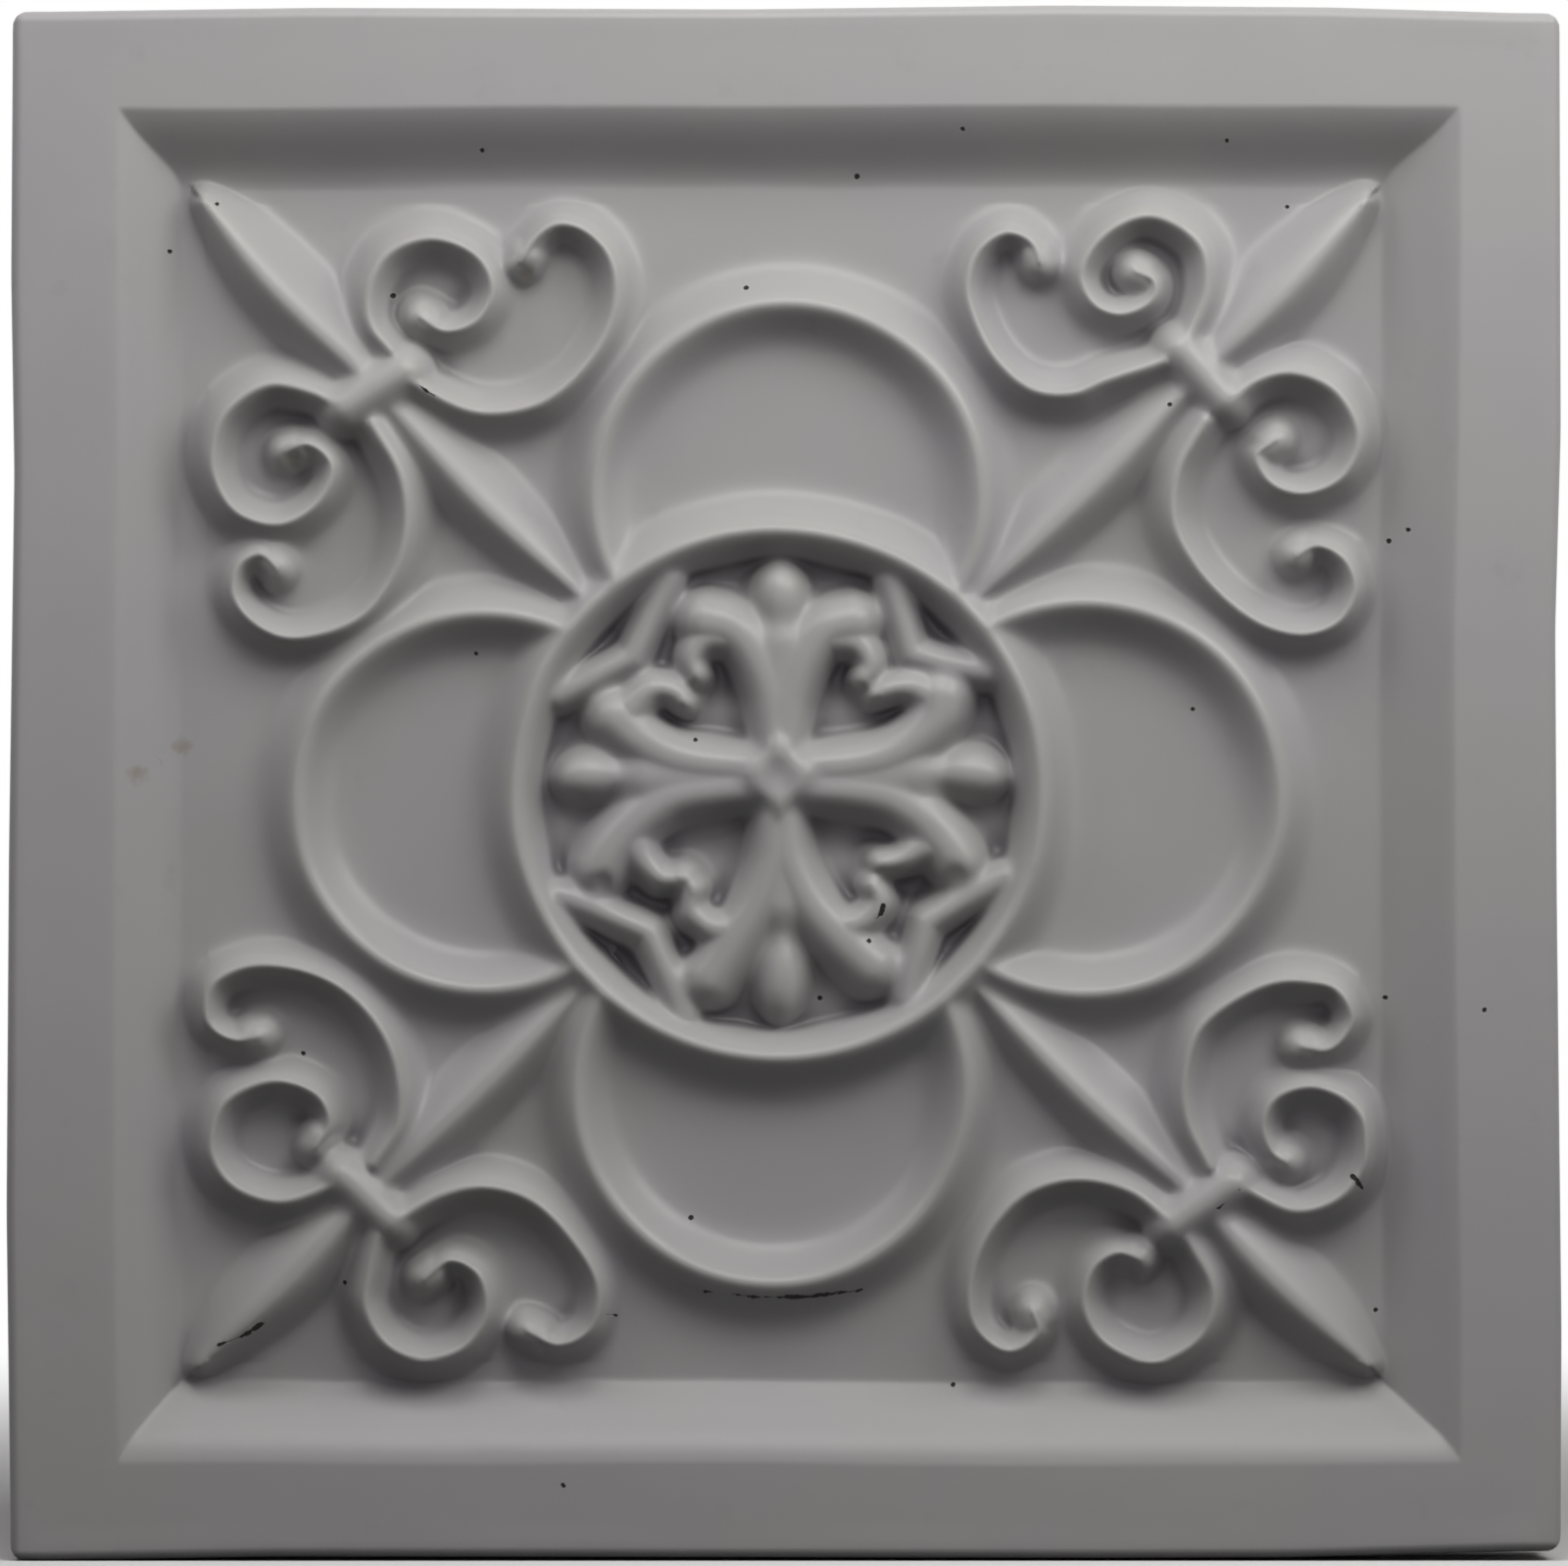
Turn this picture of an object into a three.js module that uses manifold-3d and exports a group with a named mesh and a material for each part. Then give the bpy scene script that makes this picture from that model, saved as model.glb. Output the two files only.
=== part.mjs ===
// A square relief tile with a moulded frame, a quatrefoil, a foliate cross and four fleurs-de-lis.
// Millimetres. It stands on its lower edge with its face toward -Y, +X to the right and +Z up.
// The origin is the middle of the lower edge's box.
import * as THREE from "three";
import { mergeVertices } from "three/addons/utils/BufferGeometryUtils.js";
import Module from "manifold-3d";

// Slab and frame
const TILE_WIDTH = 200;
const TILE_HEIGHT = 200;
const SLAB_THICKNESS = 11; // from the back to the ground of the panel
const FRAME_RISE = 9; // from the ground of the panel to the face of the frame
const FRAME_FACE = 12.7; // width of the flat face
const MOULDING_WIDTH = 9.8; // width of the slope down to the panel
const PLAN_CORNER_RADIUS = 2;
const EDGE_RADIUS = 1.4;
const GAP = 0.3; // between two pieces that were cut to each other

// Keying grooves across the back, for the mortar bed
const GROOVE_COUNT = 6;
const GROOVE_PITCH = 30;
const GROOVE_MOUTH = 8;
const GROOVE_FLOOR = 6;
const GROOVE_DEPTH = 2;

// The ornament is drawn by hand in squares of a grid. GRID_COUNT of them reach from the middle of
// the panel to its edge, so the drawing follows the panel.
const GRID_COUNT = 77.5;

// Centre ring and the medallion inside it. The centre is in squares from the tile's middle.
const RING_CENTRE = [-0.6, -0.8];
const RING_CREST_RADIUS = 33.4;
const RING_OUTER_WIDTH = 4.9; // from the crest to the outer foot
const RING_INNER_WIDTH = 2.6; // from the crest to the inner wall's foot
const RING_RISE = 8;
const MEDALLION_DEPTH = 3; // its ground lies this far under the panel's

// Foil rings of the quatrefoil: centre from the tile's middle and crest radius, in squares
const FOILS = [
  { side: "top", centre: [0, 37.2], radius: 24.7 },
  { side: "right", centre: [39.6, -1.5], radius: 25.2 },
  { side: "bottom", centre: [-1.6, -39.9], radius: 24.2 },
  { side: "left", centre: [-39.1, -1.6], radius: 24.3 },
];
const FOIL_WIDTH = 9.2;
const FOIL_RISE = 5;

// Tracery cusps inside the ring: degrees at which the two ribs leave the wall and at which they
// meet, and how far from the wall that is, in squares of the cross
const CUSP_WIDTH = 3.6;
const CUSP_RISE = 6.4;
const CUSPS = [
  { corner: "nw", from: 117, tip: 137, to: 156, reach: 4.3 },
  { corner: "ne", from: 30, tip: 46, to: 62, reach: 5.1 },
  { corner: "se", from: -60, tip: -43, to: -22, reach: 5.8 },
  { corner: "sw", from: 204, tip: 226, to: 246, reach: 7 },
];

// Foliate cross. Its points are from the tile's middle too, in squares of its own:
// CROSS_GRID_COUNT of them reach from the ring's centre to the medallion's edge.
const CROSS_GRID_COUNT = 30.8;
const BOSS_CENTRE = [-0.5, 1.1];
const BOSS_HALF_WIDTH = 5;
const BOSS_HALF_HEIGHT = 5.6;
const BOSS_RISE = 9;
const BOSS_DISH = 1.6;
const LEAFLET_WIDTH = 5.4;
const LEAFLET_RISE = 7.6;
const CURL_WIDTH = 3.4;
const CURL_RISE = 6;
const BUD_WIDTH = 6;
const BUD_RISE = 7.2;
const FRONDS = [
  {
    side: "top",
    leaflets: [
      [[-0.4, 7.6], [-1.3, 12.7], [-4.4, 18.4], [-7.3, 20.6], [-10.8, 21.4]],
      [[0.4, 7.6], [1.9, 13.3], [4.8, 18.4], [7.3, 20.6], [10.3, 21]],
    ],
    curls: [
      [[-6.2, 19], [-10, 17.9], [-11.6, 15.2], [-11.1, 12.7]],
      [[6, 18.7], [9.9, 17.1], [11.1, 14.6], [10.1, 12.7]],
    ],
    bud: [[-0.2, 16], [-0.4, 20], [-0.4, 23.8], [-0.4, 27]],
  },
  {
    side: "right",
    leaflets: [
      [[4.5, 1.3], [10.1, 1.5], [17.1, 4.4], [20.5, 7.6], [22, 11.1]],
      [[4.5, 0], [11.4, -1.5], [18.4, -3.8], [21.8, -6.6], [23.4, -9.7]],
    ],
    curls: [
      [[18.6, 6], [16.2, 10.4], [13.7, 11.6], [11.4, 9.9]],
      [[19.8, -5], [18.4, -8.9], [14.6, -9.9], [11.4, -9.1]],
    ],
    bud: [[16.5, 0.4], [20.5, 0.6], [24.1, 0.9], [28, 0.6]],
  },
  {
    side: "bottom",
    leaflets: [
      [[-0.5, -5.4], [-1.3, -13.3], [-4.8, -17.1], [-7.3, -22.2], [-9.8, -26.4]],
      [[-0.1, -5.4], [1.5, -13.3], [5.7, -18.4], [9.1, -22.2], [11.8, -24.5]],
    ],
    curls: [
      [[-6, -19], [-10.8, -19], [-12.3, -15.8], [-9.9, -13.3]],
      [[7.2, -19.6], [11.8, -17.7], [12.7, -14.6], [10.1, -13]],
    ],
    bud: [[-0.4, -17], [-0.4, -21.5], [-0.4, -26], [-0.4, -30.6]],
  },
  {
    side: "left",
    leaflets: [
      [[-5.6, 1.3], [-12.7, 1.9], [-19, 4.1], [-22.2, 7], [-24.6, 9.4]],
      [[-5.6, 0], [-12.7, -1.5], [-18.4, -3.8], [-22.2, -7.6], [-24.3, -12]],
    ],
    curls: [
      [[-19.8, 6], [-17.7, 10.4], [-14.6, 11.6], [-12.3, 9.9]],
      [[-19.8, -5.4], [-18.4, -9.9], [-15.2, -11.6], [-12.3, -11.8]],
    ],
    bud: [[-17, 0.3], [-21, 0], [-24.9, 0], [-29, -0.4]],
  },
];

// Fleurs-de-lis. Each is drawn from its collar, with u and v outward to the side and to the top or
// bottom edge; sx and sz turn them to the tile's own X and Z. The collar's middle lies inset from
// the panel's corner. Points, insets and collar lengths are in squares.
const COLLAR_WIDTH = 5;
const COLLAR_RISE = 7.4;
const SPEAR_WIDTH = 9.4;
const SPEAR_RISE = 6.4;
const STEM_WIDTH = 8;
const STEM_RISE = 5.6;
const SCROLL_WIDTH = 5.4; // where a scroll leaves the collar
const SCROLL_END_WIDTH = 3.7;
const SCROLL_RISE = 5.4;
const SCROLL_END_RISE = 4.2;
const CORNERS = [
  {
    corner: "nw", sx: -1, sz: 1, inset: [24.3, 25.9], collarLength: 13.4, collarAngle: 32,
    scrolls: {
      volute_top: [[-2, 5.2], [0.6, 8.5], [0.8, 12.9], [-1.9, 17.7], [-7.6, 19.7], [-13.3, 17.3],
        [-15.2, 12.9], [-13.3, 9.1], [-9.1, 7.8], [-5.9, 9.6]],
      volute_left: [[4.9, -2], [8.4, -0.4], [13.9, 0.5], [19.6, -3.5], [21.1, -9.9], [18.4, -15.6],
        [12.3, -17.5], [7, -14.3], [5.6, -9.6], [8.6, -7], [11.4, -8.2]],
      arm_top: [[-4.6, 1.2], [-11.4, -2.3], [-15.2, -2.9], [-21.5, -1.6], [-26.6, 2.2], [-30.4, 7.8],
        [-31.4, 13.5], [-30.1, 18], [-26.6, 21.1], [-23.4, 21.5], [-20.3, 19.2], [-19, 16.5]],
      arm_left: [[0.4, -4.6], [-3.2, -11.1], [-4.1, -17.5], [-2.5, -23.8], [1.3, -28.9], [6.3, -31.4],
        [12, -32], [16.5, -29.5], [18.4, -26.3], [17.7, -22.8], [14.9, -21.3], [12.7, -23.2]],
    },
  },
  {
    corner: "ne", sx: 1, sz: 1, inset: [23.3, 24.1], collarLength: 13, collarAngle: -49,
    scrolls: {
      volute_top: [[-2, 4.4], [0.5, 10.5], [0, 16.2], [-4.2, 19.7], [-8, 20.4], [-13, 17.8],
        [-15.6, 13], [-13.9, 9.2], [-10.5, 8], [-6.3, 9.9], [-6.1, 12.2], [-8.6, 13.4]],
      volute_right: [[3.8, -3.6], [7.2, -0.9], [11.6, 0.1], [17.3, -2.2], [20.3, -7.8], [18.6, -12.9],
        [13.5, -15.4], [9.1, -14.2], [7.1, -10.6], [9.7, -8.5]],
      arm_top: [[-5, 1.4], [-12.7, -1.6], [-16.8, -3.3], [-22, -2.9], [-26.7, 1], [-29.9, 7.3],
        [-30.5, 11.1], [-28.9, 15.4], [-25.4, 17.6], [-22, 16.3], [-21, 13.7]],
      arm_right: [[0.6, -5.6], [-2.7, -11.9], [-3, -18], [-0.4, -23.4], [4.1, -28.4], [9.1, -31.6],
        [14.2, -32.5], [18.6, -30.6], [20.5, -26.8], [19.2, -23], [15.4, -21.1], [12.9, -22.4]],
    },
  },
  {
    corner: "se", sx: 1, sz: -1, inset: [23.6, 24.1], collarLength: 13.6, collarAngle: 35,
    scrolls: {
      volute_bottom: [[-2, 4.4], [1.3, 11.1], [-0.1, 16.8], [-6.3, 20.3], [-12.8, 17.7],
        [-15.3, 12.7], [-14.1, 8], [-11.1, 6.1], [-8, 7.1]],
      volute_right: [[5, -2.4], [12.4, 0.6], [18.2, -1.5], [20.9, -6.1], [20.1, -12.3], [14.6, -15.4],
        [9.4, -13.9], [7.8, -10.4], [9, -6.8], [10.9, -5.6]],
      arm_bottom: [[-4.6, 1.9], [-9.7, -1.9], [-16.6, -3.3], [-23, -1.4], [-28.1, 4.1], [-30.3, 10.5],
        [-29.4, 16.1], [-25.2, 19], [-21.3, 16.5], [-22, 13.9]],
      arm_right: [[0.9, -5], [-1.6, -10.4], [-2.2, -16.3], [-0.4, -22.8], [4.7, -27], [10.6, -29.1],
        [17.5, -27.8], [19.5, -24.1], [16.7, -20.3], [12.9, -20.6]],
    },
  },
  {
    corner: "sw", sx: -1, sz: -1, inset: [23.7, 25.3], collarLength: 12.8, collarAngle: -43,
    scrolls: {
      volute_bottom: [[-1.6, 5], [-0.6, 9], [0.1, 13.9], [-2.5, 18.7], [-7.1, 20.8], [-12.7, 19.4],
        [-15.6, 14.9], [-14.6, 9.9], [-10.8, 8], [-7.6, 10.5]],
      volute_left: [[4.4, -1.6], [11.3, 0.3], [17.7, -2.2], [20.1, -6.6], [18.4, -12.3], [12, -15.1],
        [6.3, -13.2], [4.8, -9.7], [6.6, -6.6]],
      arm_bottom: [[-4.4, 2.6], [-10.1, -0.6], [-15.6, -1.5], [-21.6, 0.3], [-26.7, 5.3],
        [-30.1, 11.4], [-29.2, 16.8], [-25.1, 19], [-20.9, 17.2]],
      arm_left: [[-1, -4.6], [-4.2, -10], [-3.7, -18.1], [-0.8, -23.7], [3.9, -27.8], [10, -30],
        [15.9, -30], [20.1, -27.5], [20.4, -22.8], [17.1, -20.6], [13.8, -21]],
    },
  },
];

// Places that follow from the sizes. Depths are along Y, and the face is at the low end.
const DEPTH = SLAB_THICKNESS + FRAME_RISE;
const BACK_Y = DEPTH / 2;
const GROUND_Y = BACK_Y - SLAB_THICKNESS;
const FACE_Y = GROUND_Y - FRAME_RISE;
const MEDALLION_Y = GROUND_Y + MEDALLION_DEPTH;
const FRAME_WIDTH = FRAME_FACE + MOULDING_WIDTH;
const PANEL_HALF_WIDTH = TILE_WIDTH / 2 - FRAME_WIDTH;
const PANEL_HALF_HEIGHT = TILE_HEIGHT / 2 - FRAME_WIDTH;
const RING_FOOT_RADIUS = RING_CREST_RADIUS + RING_OUTER_WIDTH;
const MEDALLION_RADIUS = RING_CREST_RADIUS - RING_INNER_WIDTH;
const GRID_X = PANEL_HALF_WIDTH / GRID_COUNT;
const GRID_Z = PANEL_HALF_HEIGHT / GRID_COUNT;
const GRID_BOTH = Math.min(GRID_X, GRID_Z); // for what is as wide as it is high
const CROSS_GRID = MEDALLION_RADIUS / CROSS_GRID_COUNT;

// Points of the drawing in millimetres from the tile's middle; the cross keeps its place in the ring.
const drawn = ([x, z]) => [x * GRID_X, z * GRID_Z];
const [RING_X, RING_Z] = drawn(RING_CENTRE);
const inRing = ([x, z]) => [
  RING_X + (x - RING_CENTRE[0]) * CROSS_GRID,
  RING_Z + (z - RING_CENTRE[1]) * CROSS_GRID,
];

// Facets, and how far a cut runs past the face that it opens
const CIRCLE_STEPS = 48;
const EDGE_STEPS = 2;
const MOULDING_STEPS = 5;
const SCROLL_STEPS = 20;
const LEAF_STEPS = 8;
const PAST = 1;

const wasm = await Module();
wasm.setup();

function solid(positions, faces) {
  const vertProperties = new Float32Array(positions);
  const triVerts = new Uint32Array(faces);
  return new wasm.Manifold(new wasm.Mesh({ numProp: 3, vertProperties, triVerts }));
}

// A closed three.js geometry as a solid.
function fromGeometry(geometry) {
  geometry.deleteAttribute("normal");
  geometry.deleteAttribute("uv");
  const merged = mergeVertices(geometry, 1e-4);
  return solid(merged.attributes.position.array, merged.index.array);
}

// A solid through rings of [x, y, z] points, each turning anticlockwise about the way they run.
function loft(rings) {
  const count = rings[0].length;
  const last = (rings.length - 1) * count;
  const faces = [];
  for (let ring = 0; ring < last; ring += count) {
    for (let k = 0; k < count; k++) {
      const a = ring + k;
      const b = ring + ((k + 1) % count);
      faces.push(a, b, b + count, a, b + count, a + count);
    }
  }
  for (let k = 1; k < count - 1; k++) {
    faces.push(0, k + 1, k);
    faces.push(last, last + k, last + k + 1);
  }
  return solid(rings.flat(2), faces);
}

const steps = (count) => Array.from({ length: count + 1 }, (_, i) => i / count);

// The largest body left after cuts, without slivers beyond a neighbour.
function mainBody(made) {
  const bodies = made.decompose();
  return bodies.reduce((best, body) => (body.volume() > best.volume() ? body : best));
}

// Cross sections as [offset, rise] shares, from one foot over the crest to the other.
const ARCH = [[1, 0], [0.66, 0.68], [0, 1], [-0.66, 0.68], [-1, 0]];
const SWELL = [[1, 0], [0.66, 0.36], [0.3, 0.86], [0, 1], [-0.3, 0.86], [-0.66, 0.36], [-1, 0]];
const KEEL = [[1, 0], [0.62, 0.42], [0.14, 1], [-0.14, 1], [-0.62, 0.42], [-1, 0]];

// Width shares along a ridge: rounded at the free end, or at both.
const roundOff = (t, share) => (t > 1 - share ? Math.sqrt(1 - ((t - 1 + share) / share) ** 2) : 1);
const bluntEnd = (t) => Math.max(roundOff(t, 0.1), 0.25);
const bluntEnds = (t) => Math.min(bluntEnd(t), bluntEnd(1 - t));
const leaf = (t) => 0.3 + 0.7 * Math.sin(Math.PI * Math.min(1, 0.12 + 0.88 * t)) ** 0.8;
const teardrop = (t) => Math.max(0.2, Math.sin(Math.PI * (0.08 + 0.84 * t ** 1.5)));

// The section across a ridge at one point, square to its direction.
const sectionAt = (x, z, along, half, crest, ground, section) =>
  section.map(([offset, up]) => [
    x - along.y * half * offset,
    ground - crest * up,
    z + along.x * half * offset,
  ]);

// A ridge on a flat ground along a smooth line through [x, z] points. width and rise are
// [at the start, at the end]; grow makes it a cutter with room all round.
function ridge(spec, grow = 0) {
  const { line, width, rise, count, ground = GROUND_Y, shape = bluntEnd, section = ARCH } = spec;
  const points = line.map(([x, z]) => new THREE.Vector3(x, z, 0));
  const curve = new THREE.CatmullRomCurve3(points, false, "centripetal");
  const rings = steps(count).map((t) => {
    const at = curve.getPointAt(t);
    const share = shape(t);
    const half = (THREE.MathUtils.lerp(width[0], width[1], t) / 2) * share + grow;
    const crest = THREE.MathUtils.lerp(rise[0], rise[1], t) * Math.sqrt(share) + grow;
    return sectionAt(at.x, at.y, curve.getTangentAt(t), half, crest, ground, section);
  });
  return loft(rings);
}

// A rib of one section that turns a sharp corner, mitred there.
function corneredRib(points, width, rise, ground) {
  const [start, corner, end] = points.map(([x, z]) => new THREE.Vector2(x, z));
  const into = corner.clone().sub(start).normalize();
  const out = end.clone().sub(corner).normalize();
  const across = into.clone().add(out).normalize();
  const mitre = 1 / across.dot(into);
  const half = width / 2;
  return loft([
    sectionAt(start.x, start.y, into, half, rise, ground, ARCH),
    sectionAt(corner.x, corner.y, across, half * mitre, rise, ground, ARCH),
    sectionAt(end.x, end.y, out, half, rise, ground, ARCH),
  ]);
}

// A ring that stands on the ground: [radius, y] points from its inner foot over the crest outward.
function revolved(profile, [x, z]) {
  const points = profile.map(([radius, y]) => new THREE.Vector2(radius, y));
  points.push(points[0].clone());
  return fromGeometry(new THREE.LatheGeometry(points, CIRCLE_STEPS).translate(x, 0, z));
}

// Outlines in the plane of the tile, anticlockwise for someone in front of it.
function roundedRectangle(halfWidth, halfHeight, radius) {
  const corners = [[1, 1, 0], [-1, 1, 0.5], [-1, -1, 1], [1, -1, 1.5]];
  return corners.flatMap(([sx, sz, turn]) =>
    steps(EDGE_STEPS).map((t) => {
      const angle = Math.PI * (turn + t / 2);
      const x = sx * (halfWidth - radius) + radius * Math.cos(angle);
      const z = sz * (halfHeight - radius) + radius * Math.sin(angle);
      return [x, z];
    }),
  );
}

function circle(radius, [x, z]) {
  return steps(CIRCLE_STEPS)
    .slice(1)
    .map((t) => [x + radius * Math.cos(2 * Math.PI * t), z + radius * Math.sin(2 * Math.PI * t)]);
}

const atDepth = (outline, y) => outline.map(([x, z]) => [x, y, z]);
const plate = (outline, backY, frontY) => loft([atDepth(outline, backY), atDepth(outline, frontY)]);

// Slab: rounded at its back edge, with the medallion sunk into its front and grooves in its back.
function makeSlab() {
  const rings = steps(EDGE_STEPS).map((t) => {
    const angle = (Math.PI / 2) * t;
    const inset = EDGE_RADIUS * (1 - Math.sin(angle));
    const outline = roundedRectangle(
      TILE_WIDTH / 2 - inset,
      TILE_HEIGHT / 2 - inset,
      Math.max(PLAN_CORNER_RADIUS - inset, 0.2),
    );
    return atDepth(outline, BACK_Y - EDGE_RADIUS * (1 - Math.cos(angle)));
  });
  rings.push(atDepth(roundedRectangle(TILE_WIDTH / 2, TILE_HEIGHT / 2, PLAN_CORNER_RADIUS), GROUND_Y));
  let slab = loft(rings);
  slab = slab.subtract(plate(circle(MEDALLION_RADIUS, [RING_X, RING_Z]), MEDALLION_Y, GROUND_Y - PAST));
  for (let i = 0; i < GROOVE_COUNT; i++) {
    const z = (i - (GROOVE_COUNT - 1) / 2) * GROOVE_PITCH;
    const end = TILE_WIDTH / 2 + PAST;
    const mouthY = BACK_Y + PAST;
    const floorY = BACK_Y - GROOVE_DEPTH;
    const mouth = GROOVE_MOUTH / 2 + ((GROOVE_MOUTH - GROOVE_FLOOR) / 2 / GROOVE_DEPTH) * PAST;
    const groove = [-end, end].map((x) => [
      [x, floorY, z + GROOVE_FLOOR / 2],
      [x, floorY, z - GROOVE_FLOOR / 2],
      [x, mouthY, z - mouth],
      [x, mouthY, z + mouth],
    ]);
    slab = slab.subtract(loft(groove));
  }
  return slab;
}

// Frame: four mitred lengths with a rounded outer edge and a slope that is steepest at its foot.
function frameProfile(grow = 0) {
  const edge = steps(EDGE_STEPS).map((t) => {
    const angle = (Math.PI / 2) * t;
    return [EDGE_RADIUS * (1 - Math.cos(angle)), FRAME_RISE - EDGE_RADIUS * (1 - Math.sin(angle))];
  });
  const slope = steps(MOULDING_STEPS).map((t) => [
    FRAME_FACE + MOULDING_WIDTH * t + grow,
    FRAME_RISE * Math.cos((Math.PI / 2) * t),
  ]);
  return [[0, 0], ...edge, ...slope];
}

function frameLength([ax, az], [bx, bz], grow = 0) {
  const gap = grow ? 0 : GAP / Math.SQRT2;
  const run = new THREE.Vector2(bx - ax, bz - az).normalize().multiplyScalar(gap);
  const profile = frameProfile(grow);
  const end = ([x, z], shift) =>
    profile.map(([inward, rise]) => [
      x - Math.sign(x) * inward + shift * run.x,
      GROUND_Y - rise,
      z - Math.sign(z) * inward + shift * run.y,
    ]);
  return loft([end([ax, az], 1), end([bx, bz], -1)]);
}

const w = TILE_WIDTH / 2;
const h = TILE_HEIGHT / 2;
const FRAME_LENGTHS = {
  frame_top: [[-w, h], [w, h]],
  frame_right: [[w, h], [w, -h]],
  frame_bottom: [[w, -h], [-w, -h]],
  frame_left: [[-w, -h], [-w, h]],
};

// Centre ring: a soft outer slope and a steep inner wall.
function makeCentreRing() {
  const profile = [
    [MEDALLION_RADIUS, GROUND_Y],
    [MEDALLION_RADIUS + RING_INNER_WIDTH * 0.15, GROUND_Y - RING_RISE * 0.5],
    [MEDALLION_RADIUS + RING_INNER_WIDTH * 0.5, GROUND_Y - RING_RISE * 0.88],
    [RING_CREST_RADIUS, GROUND_Y - RING_RISE],
    [RING_CREST_RADIUS + RING_OUTER_WIDTH * 0.35, GROUND_Y - RING_RISE * 0.84],
    [RING_CREST_RADIUS + RING_OUTER_WIDTH * 0.68, GROUND_Y - RING_RISE * 0.42],
    [RING_FOOT_RADIUS, GROUND_Y],
  ];
  return revolved(profile, [RING_X, RING_Z]);
}

// Everything outside the ring stops at this dome over it.
function centreRingCutter() {
  const rings = [
    [RING_FOOT_RADIUS + GAP, GROUND_Y + GAP],
    [RING_FOOT_RADIUS + GAP, GROUND_Y],
    [RING_CREST_RADIUS + RING_OUTER_WIDTH * 0.68 + GAP, GROUND_Y - RING_RISE * 0.42 - GAP],
    [RING_CREST_RADIUS + RING_OUTER_WIDTH * 0.35 + GAP, GROUND_Y - RING_RISE * 0.84 - GAP],
    [RING_CREST_RADIUS, GROUND_Y - RING_RISE - GAP],
  ];
  return loft(rings.map(([radius, y]) => atDepth(circle(radius, [RING_X, RING_Z]), y)));
}

function makeFoil({ centre, radius }, grow = 0) {
  const profile = SWELL.map(([offset, up]) => [
    radius * GRID_BOTH - (FOIL_WIDTH / 2 + grow) * offset,
    GROUND_Y - (FOIL_RISE + grow) * up,
  ]);
  return revolved(profile, drawn(centre));
}

// A cusp is two ribs that spring from the wall and meet at its tip.
function makeCusp({ from, tip, to, reach }, grow = 0) {
  const polar = (degrees, radius) => {
    const angle = THREE.MathUtils.degToRad(degrees);
    return [RING_X + radius * Math.cos(angle), RING_Z + radius * Math.sin(angle)];
  };
  const points = [
    polar(from, MEDALLION_RADIUS + PAST),
    polar(tip, MEDALLION_RADIUS - reach * CROSS_GRID),
    polar(to, MEDALLION_RADIUS + PAST),
  ];
  return corneredRib(points, CUSP_WIDTH + 2 * grow, CUSP_RISE + grow, MEDALLION_Y);
}

// A four-cornered boss with a dished top.
function makeBoss(grow = 0) {
  const [x, z] = inRing(BOSS_CENTRE);
  const star = (share, rise) => atDepth(
    steps(8).slice(1).map((t, i) => {
      const reach = (i % 2 ? 1 : 0.62) * share;
      const angle = 2 * Math.PI * t;
      return [
        x + (BOSS_HALF_WIDTH + grow) * reach * Math.cos(angle),
        z + (BOSS_HALF_HEIGHT + grow) * reach * Math.sin(angle),
      ];
    }),
    MEDALLION_Y - rise,
  );
  return loft([
    star(1, 0),
    star(0.92, BOSS_RISE * 0.6),
    star(0.6, BOSS_RISE + grow),
    star(0.2, BOSS_RISE - BOSS_DISH + grow),
  ]);
}

// Two leaflets that spring from the boss, each with a curl on its inner side.
function makeFrond({ leaflets, curls }, grow = 0) {
  const leafletParts = leaflets.map((line) => ridge({
    line: line.map(inRing), width: [LEAFLET_WIDTH, LEAFLET_WIDTH], rise: [LEAFLET_RISE, LEAFLET_RISE],
    ground: MEDALLION_Y, count: LEAF_STEPS,
  }, grow));
  const curlParts = curls.map((line) => ridge({
    line: line.map(inRing), width: [CURL_WIDTH, CURL_WIDTH], rise: [CURL_RISE, CURL_RISE],
    ground: MEDALLION_Y, count: LEAF_STEPS,
  }, grow));
  return [...leafletParts, ...curlParts].reduce((whole, piece) => whole.add(piece));
}

const makeBud = ({ bud }, grow = 0) => ridge({
  line: bud.map(inRing), width: [BUD_WIDTH, BUD_WIDTH], rise: [BUD_RISE, BUD_RISE],
  ground: MEDALLION_Y, shape: teardrop, count: LEAF_STEPS,
}, grow);

// Where a corner's collar sits, and its drawing turned to the tile's own directions.
function placed({ sx, sz, inset }) {
  const [insetX, insetZ] = drawn(inset);
  const x = sx * (PANEL_HALF_WIDTH - insetX);
  const z = sz * (PANEL_HALF_HEIGHT - insetZ);
  const turned = (line) => line.map(drawn).map(([u, v]) => [x + sx * u, z + sz * v]);
  return { x, z, turned };
}

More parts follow.
